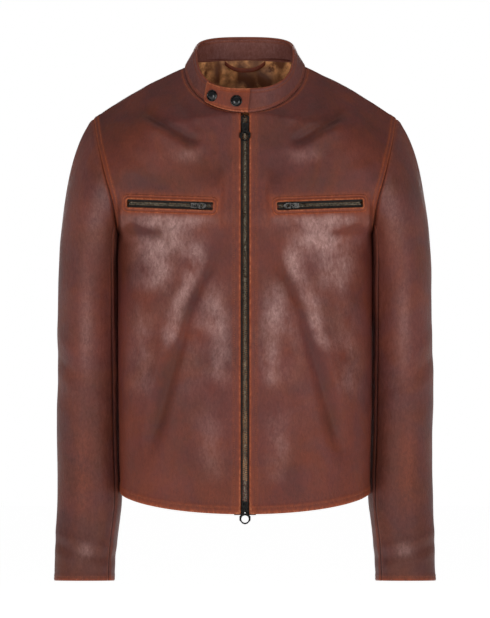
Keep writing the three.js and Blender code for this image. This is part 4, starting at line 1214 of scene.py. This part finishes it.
# The pocket's frame: leather folded round the window, highest and most rubbed at its inner lip. Its
# outline is a rounded rectangle, each point with the direction it faces.
CORNER, HALF_LENGTH, HALF_HEIGHT = 2.0, 64, 6
outline = []
for cx, cz, turn in ((1, 1, 0), (-1, 1, 90), (-1, -1, 180), (1, -1, 270)):
    for angle in np.linspace(0, math.pi / 2, 7) + math.radians(turn):
        corner = (cx * (HALF_LENGTH - CORNER), cz * (HALF_HEIGHT - CORNER))
        outline.append([*corner, math.cos(angle), math.sin(angle)])
outline = np.array(outline)
ring = []
for this, following in zip(outline, np.roll(outline, -1, 0)):
    count = max(1, int(math.dist(this[:2], following[:2]) / 2.6))
    ring += [this * (1 - q / count) + following * (q / count) for q in range(count)]
ring_points, ring_directions = np.array(ring)[:, :2], np.array(ring)[:, 2:]
ring_directions /= np.linalg.norm(ring_directions, axis=1, keepdims=True)
LIP = [  # distance outwards, height towards the body and how rubbed it is
    (-0.2, 1.4, 0.5), (-0.3, 0.0, 0.7), (0.1, -1.4, 0.95), (0.9, -2.3, 1.0), (1.9, -2.2, 0.75),
    (2.9, -1.5, 0.35), (3.9, -1.15, 0.3), (4.6, -0.95, 0.3), (5.4, -1.3, 0.45), (6.3, -1.5, 0.75),
    (7.0, -1.0, 0.8), (7.3, -0.1, 0.5), (7.3, 0.6, 0.3),
]
LIP_STITCHES = 7  # the stop of the lip that is sewn
for side in SIDES:
    flat = np.array([ring_points + ring_directions * (CORNER + d) for d, _, _ in LIP])
    y, rubbed = (np.broadcast_to(np.array(LIP)[:, a : a + 1], flat.shape[:2]) for a in (1, 2))
    placed = point3(flat[..., 0], y + 0.12 * np.sin(flat[..., 0] / 2.9), flat[..., 1])
    placed = placed @ POCKET_AXES + POCKET_AT
    welt = sheet_object(f"pocket_frame_{side}", for_side(placed, side), LEATHER, 0.9, flip=side == "left",
                        ring=True, attributes={"rubbed": rubbed, "dye_tone_and_painted_shading": 0.1})
    finish_piece(welt, "shell", (f"pocket_welt_{side}",))
    loop = np.concatenate([placed[LIP_STITCHES], placed[LIP_STITCHES][:1]])
    seams = [(loop, np.broadcast_to(-POCKET_AXES[1], loop.shape))]
    thread = sewn(f"pocket_stitches_{side}", seams, side, pitch=2.9, length=2.1, radius=0.3)
    finish_piece(thread, "shell")

# The pocket bags: cotton twill sewn round the edge, hanging slack between leather and lining.
for side in SIDES:
    bag_mesh = NODES[f"pocket_bag_{side}"].data.copy()
    bag_mesh.name = f"pocket_bag_cloth_{side}"
    bag = bpy.data.objects.new(bag_mesh.name, bag_mesh)
    bpy.context.scene.collection.objects.link(bag)
    bag_mesh.materials.clear()
    bag_mesh.materials.append(TWILL)
    in_edit(bag)
    bpy.ops.mesh.remove_doubles(threshold=0.01 * MM)
    bpy.ops.mesh.tris_convert_to_quads()
    bpy.ops.mesh.subdivide(number_cuts=2)
    bpy.ops.mesh.vertices_smooth(factor=0.5, repeat=3)
    out_of_edit(bag, 60)
    finish_piece(bag, "shell", (f"pocket_bag_{side}",))

# The hanger loop: a strip of leather folded in three, hung from both ends in the neck seam.
u, v = np.meshgrid(np.linspace(-1, 1, 41), np.linspace(-1, 1, 9))
sag = 1 - np.abs(u) ** 2.6
strap = point3(30 * u, 50 - 5 * sag - 1.1 * (1 - v**2), 7 - 11.5 * sag + 3.2 * v)
strap_wear = {"rubbed": 0.3 + 0.5 * np.abs(v) ** 4}
loop = sheet_object("hanger_strap", strap, LEATHER, 1.4, attributes=strap_wear, round_edge=0.3)
finish_piece(loop, "hanger_loop", ("hanger_loop",))

# ------------------------------------------------------------------ finishes of the carried-over parts
FINISHES = {
    TAPE: ("zip_tape", "pocket_tape"),
    NICKEL: ("zip_pin", "zip_top_stop", "snap", "top_slider", "top_pull", "bottom_slider", "bottom_pull",
             "pocket_slider", "pocket_pull"),
}
for finish, starts in FINISHES.items():
    for name, thing in NODES.items():
        if name.startswith(starts):
            thing.data.materials.clear()
            thing.data.materials.append(finish)
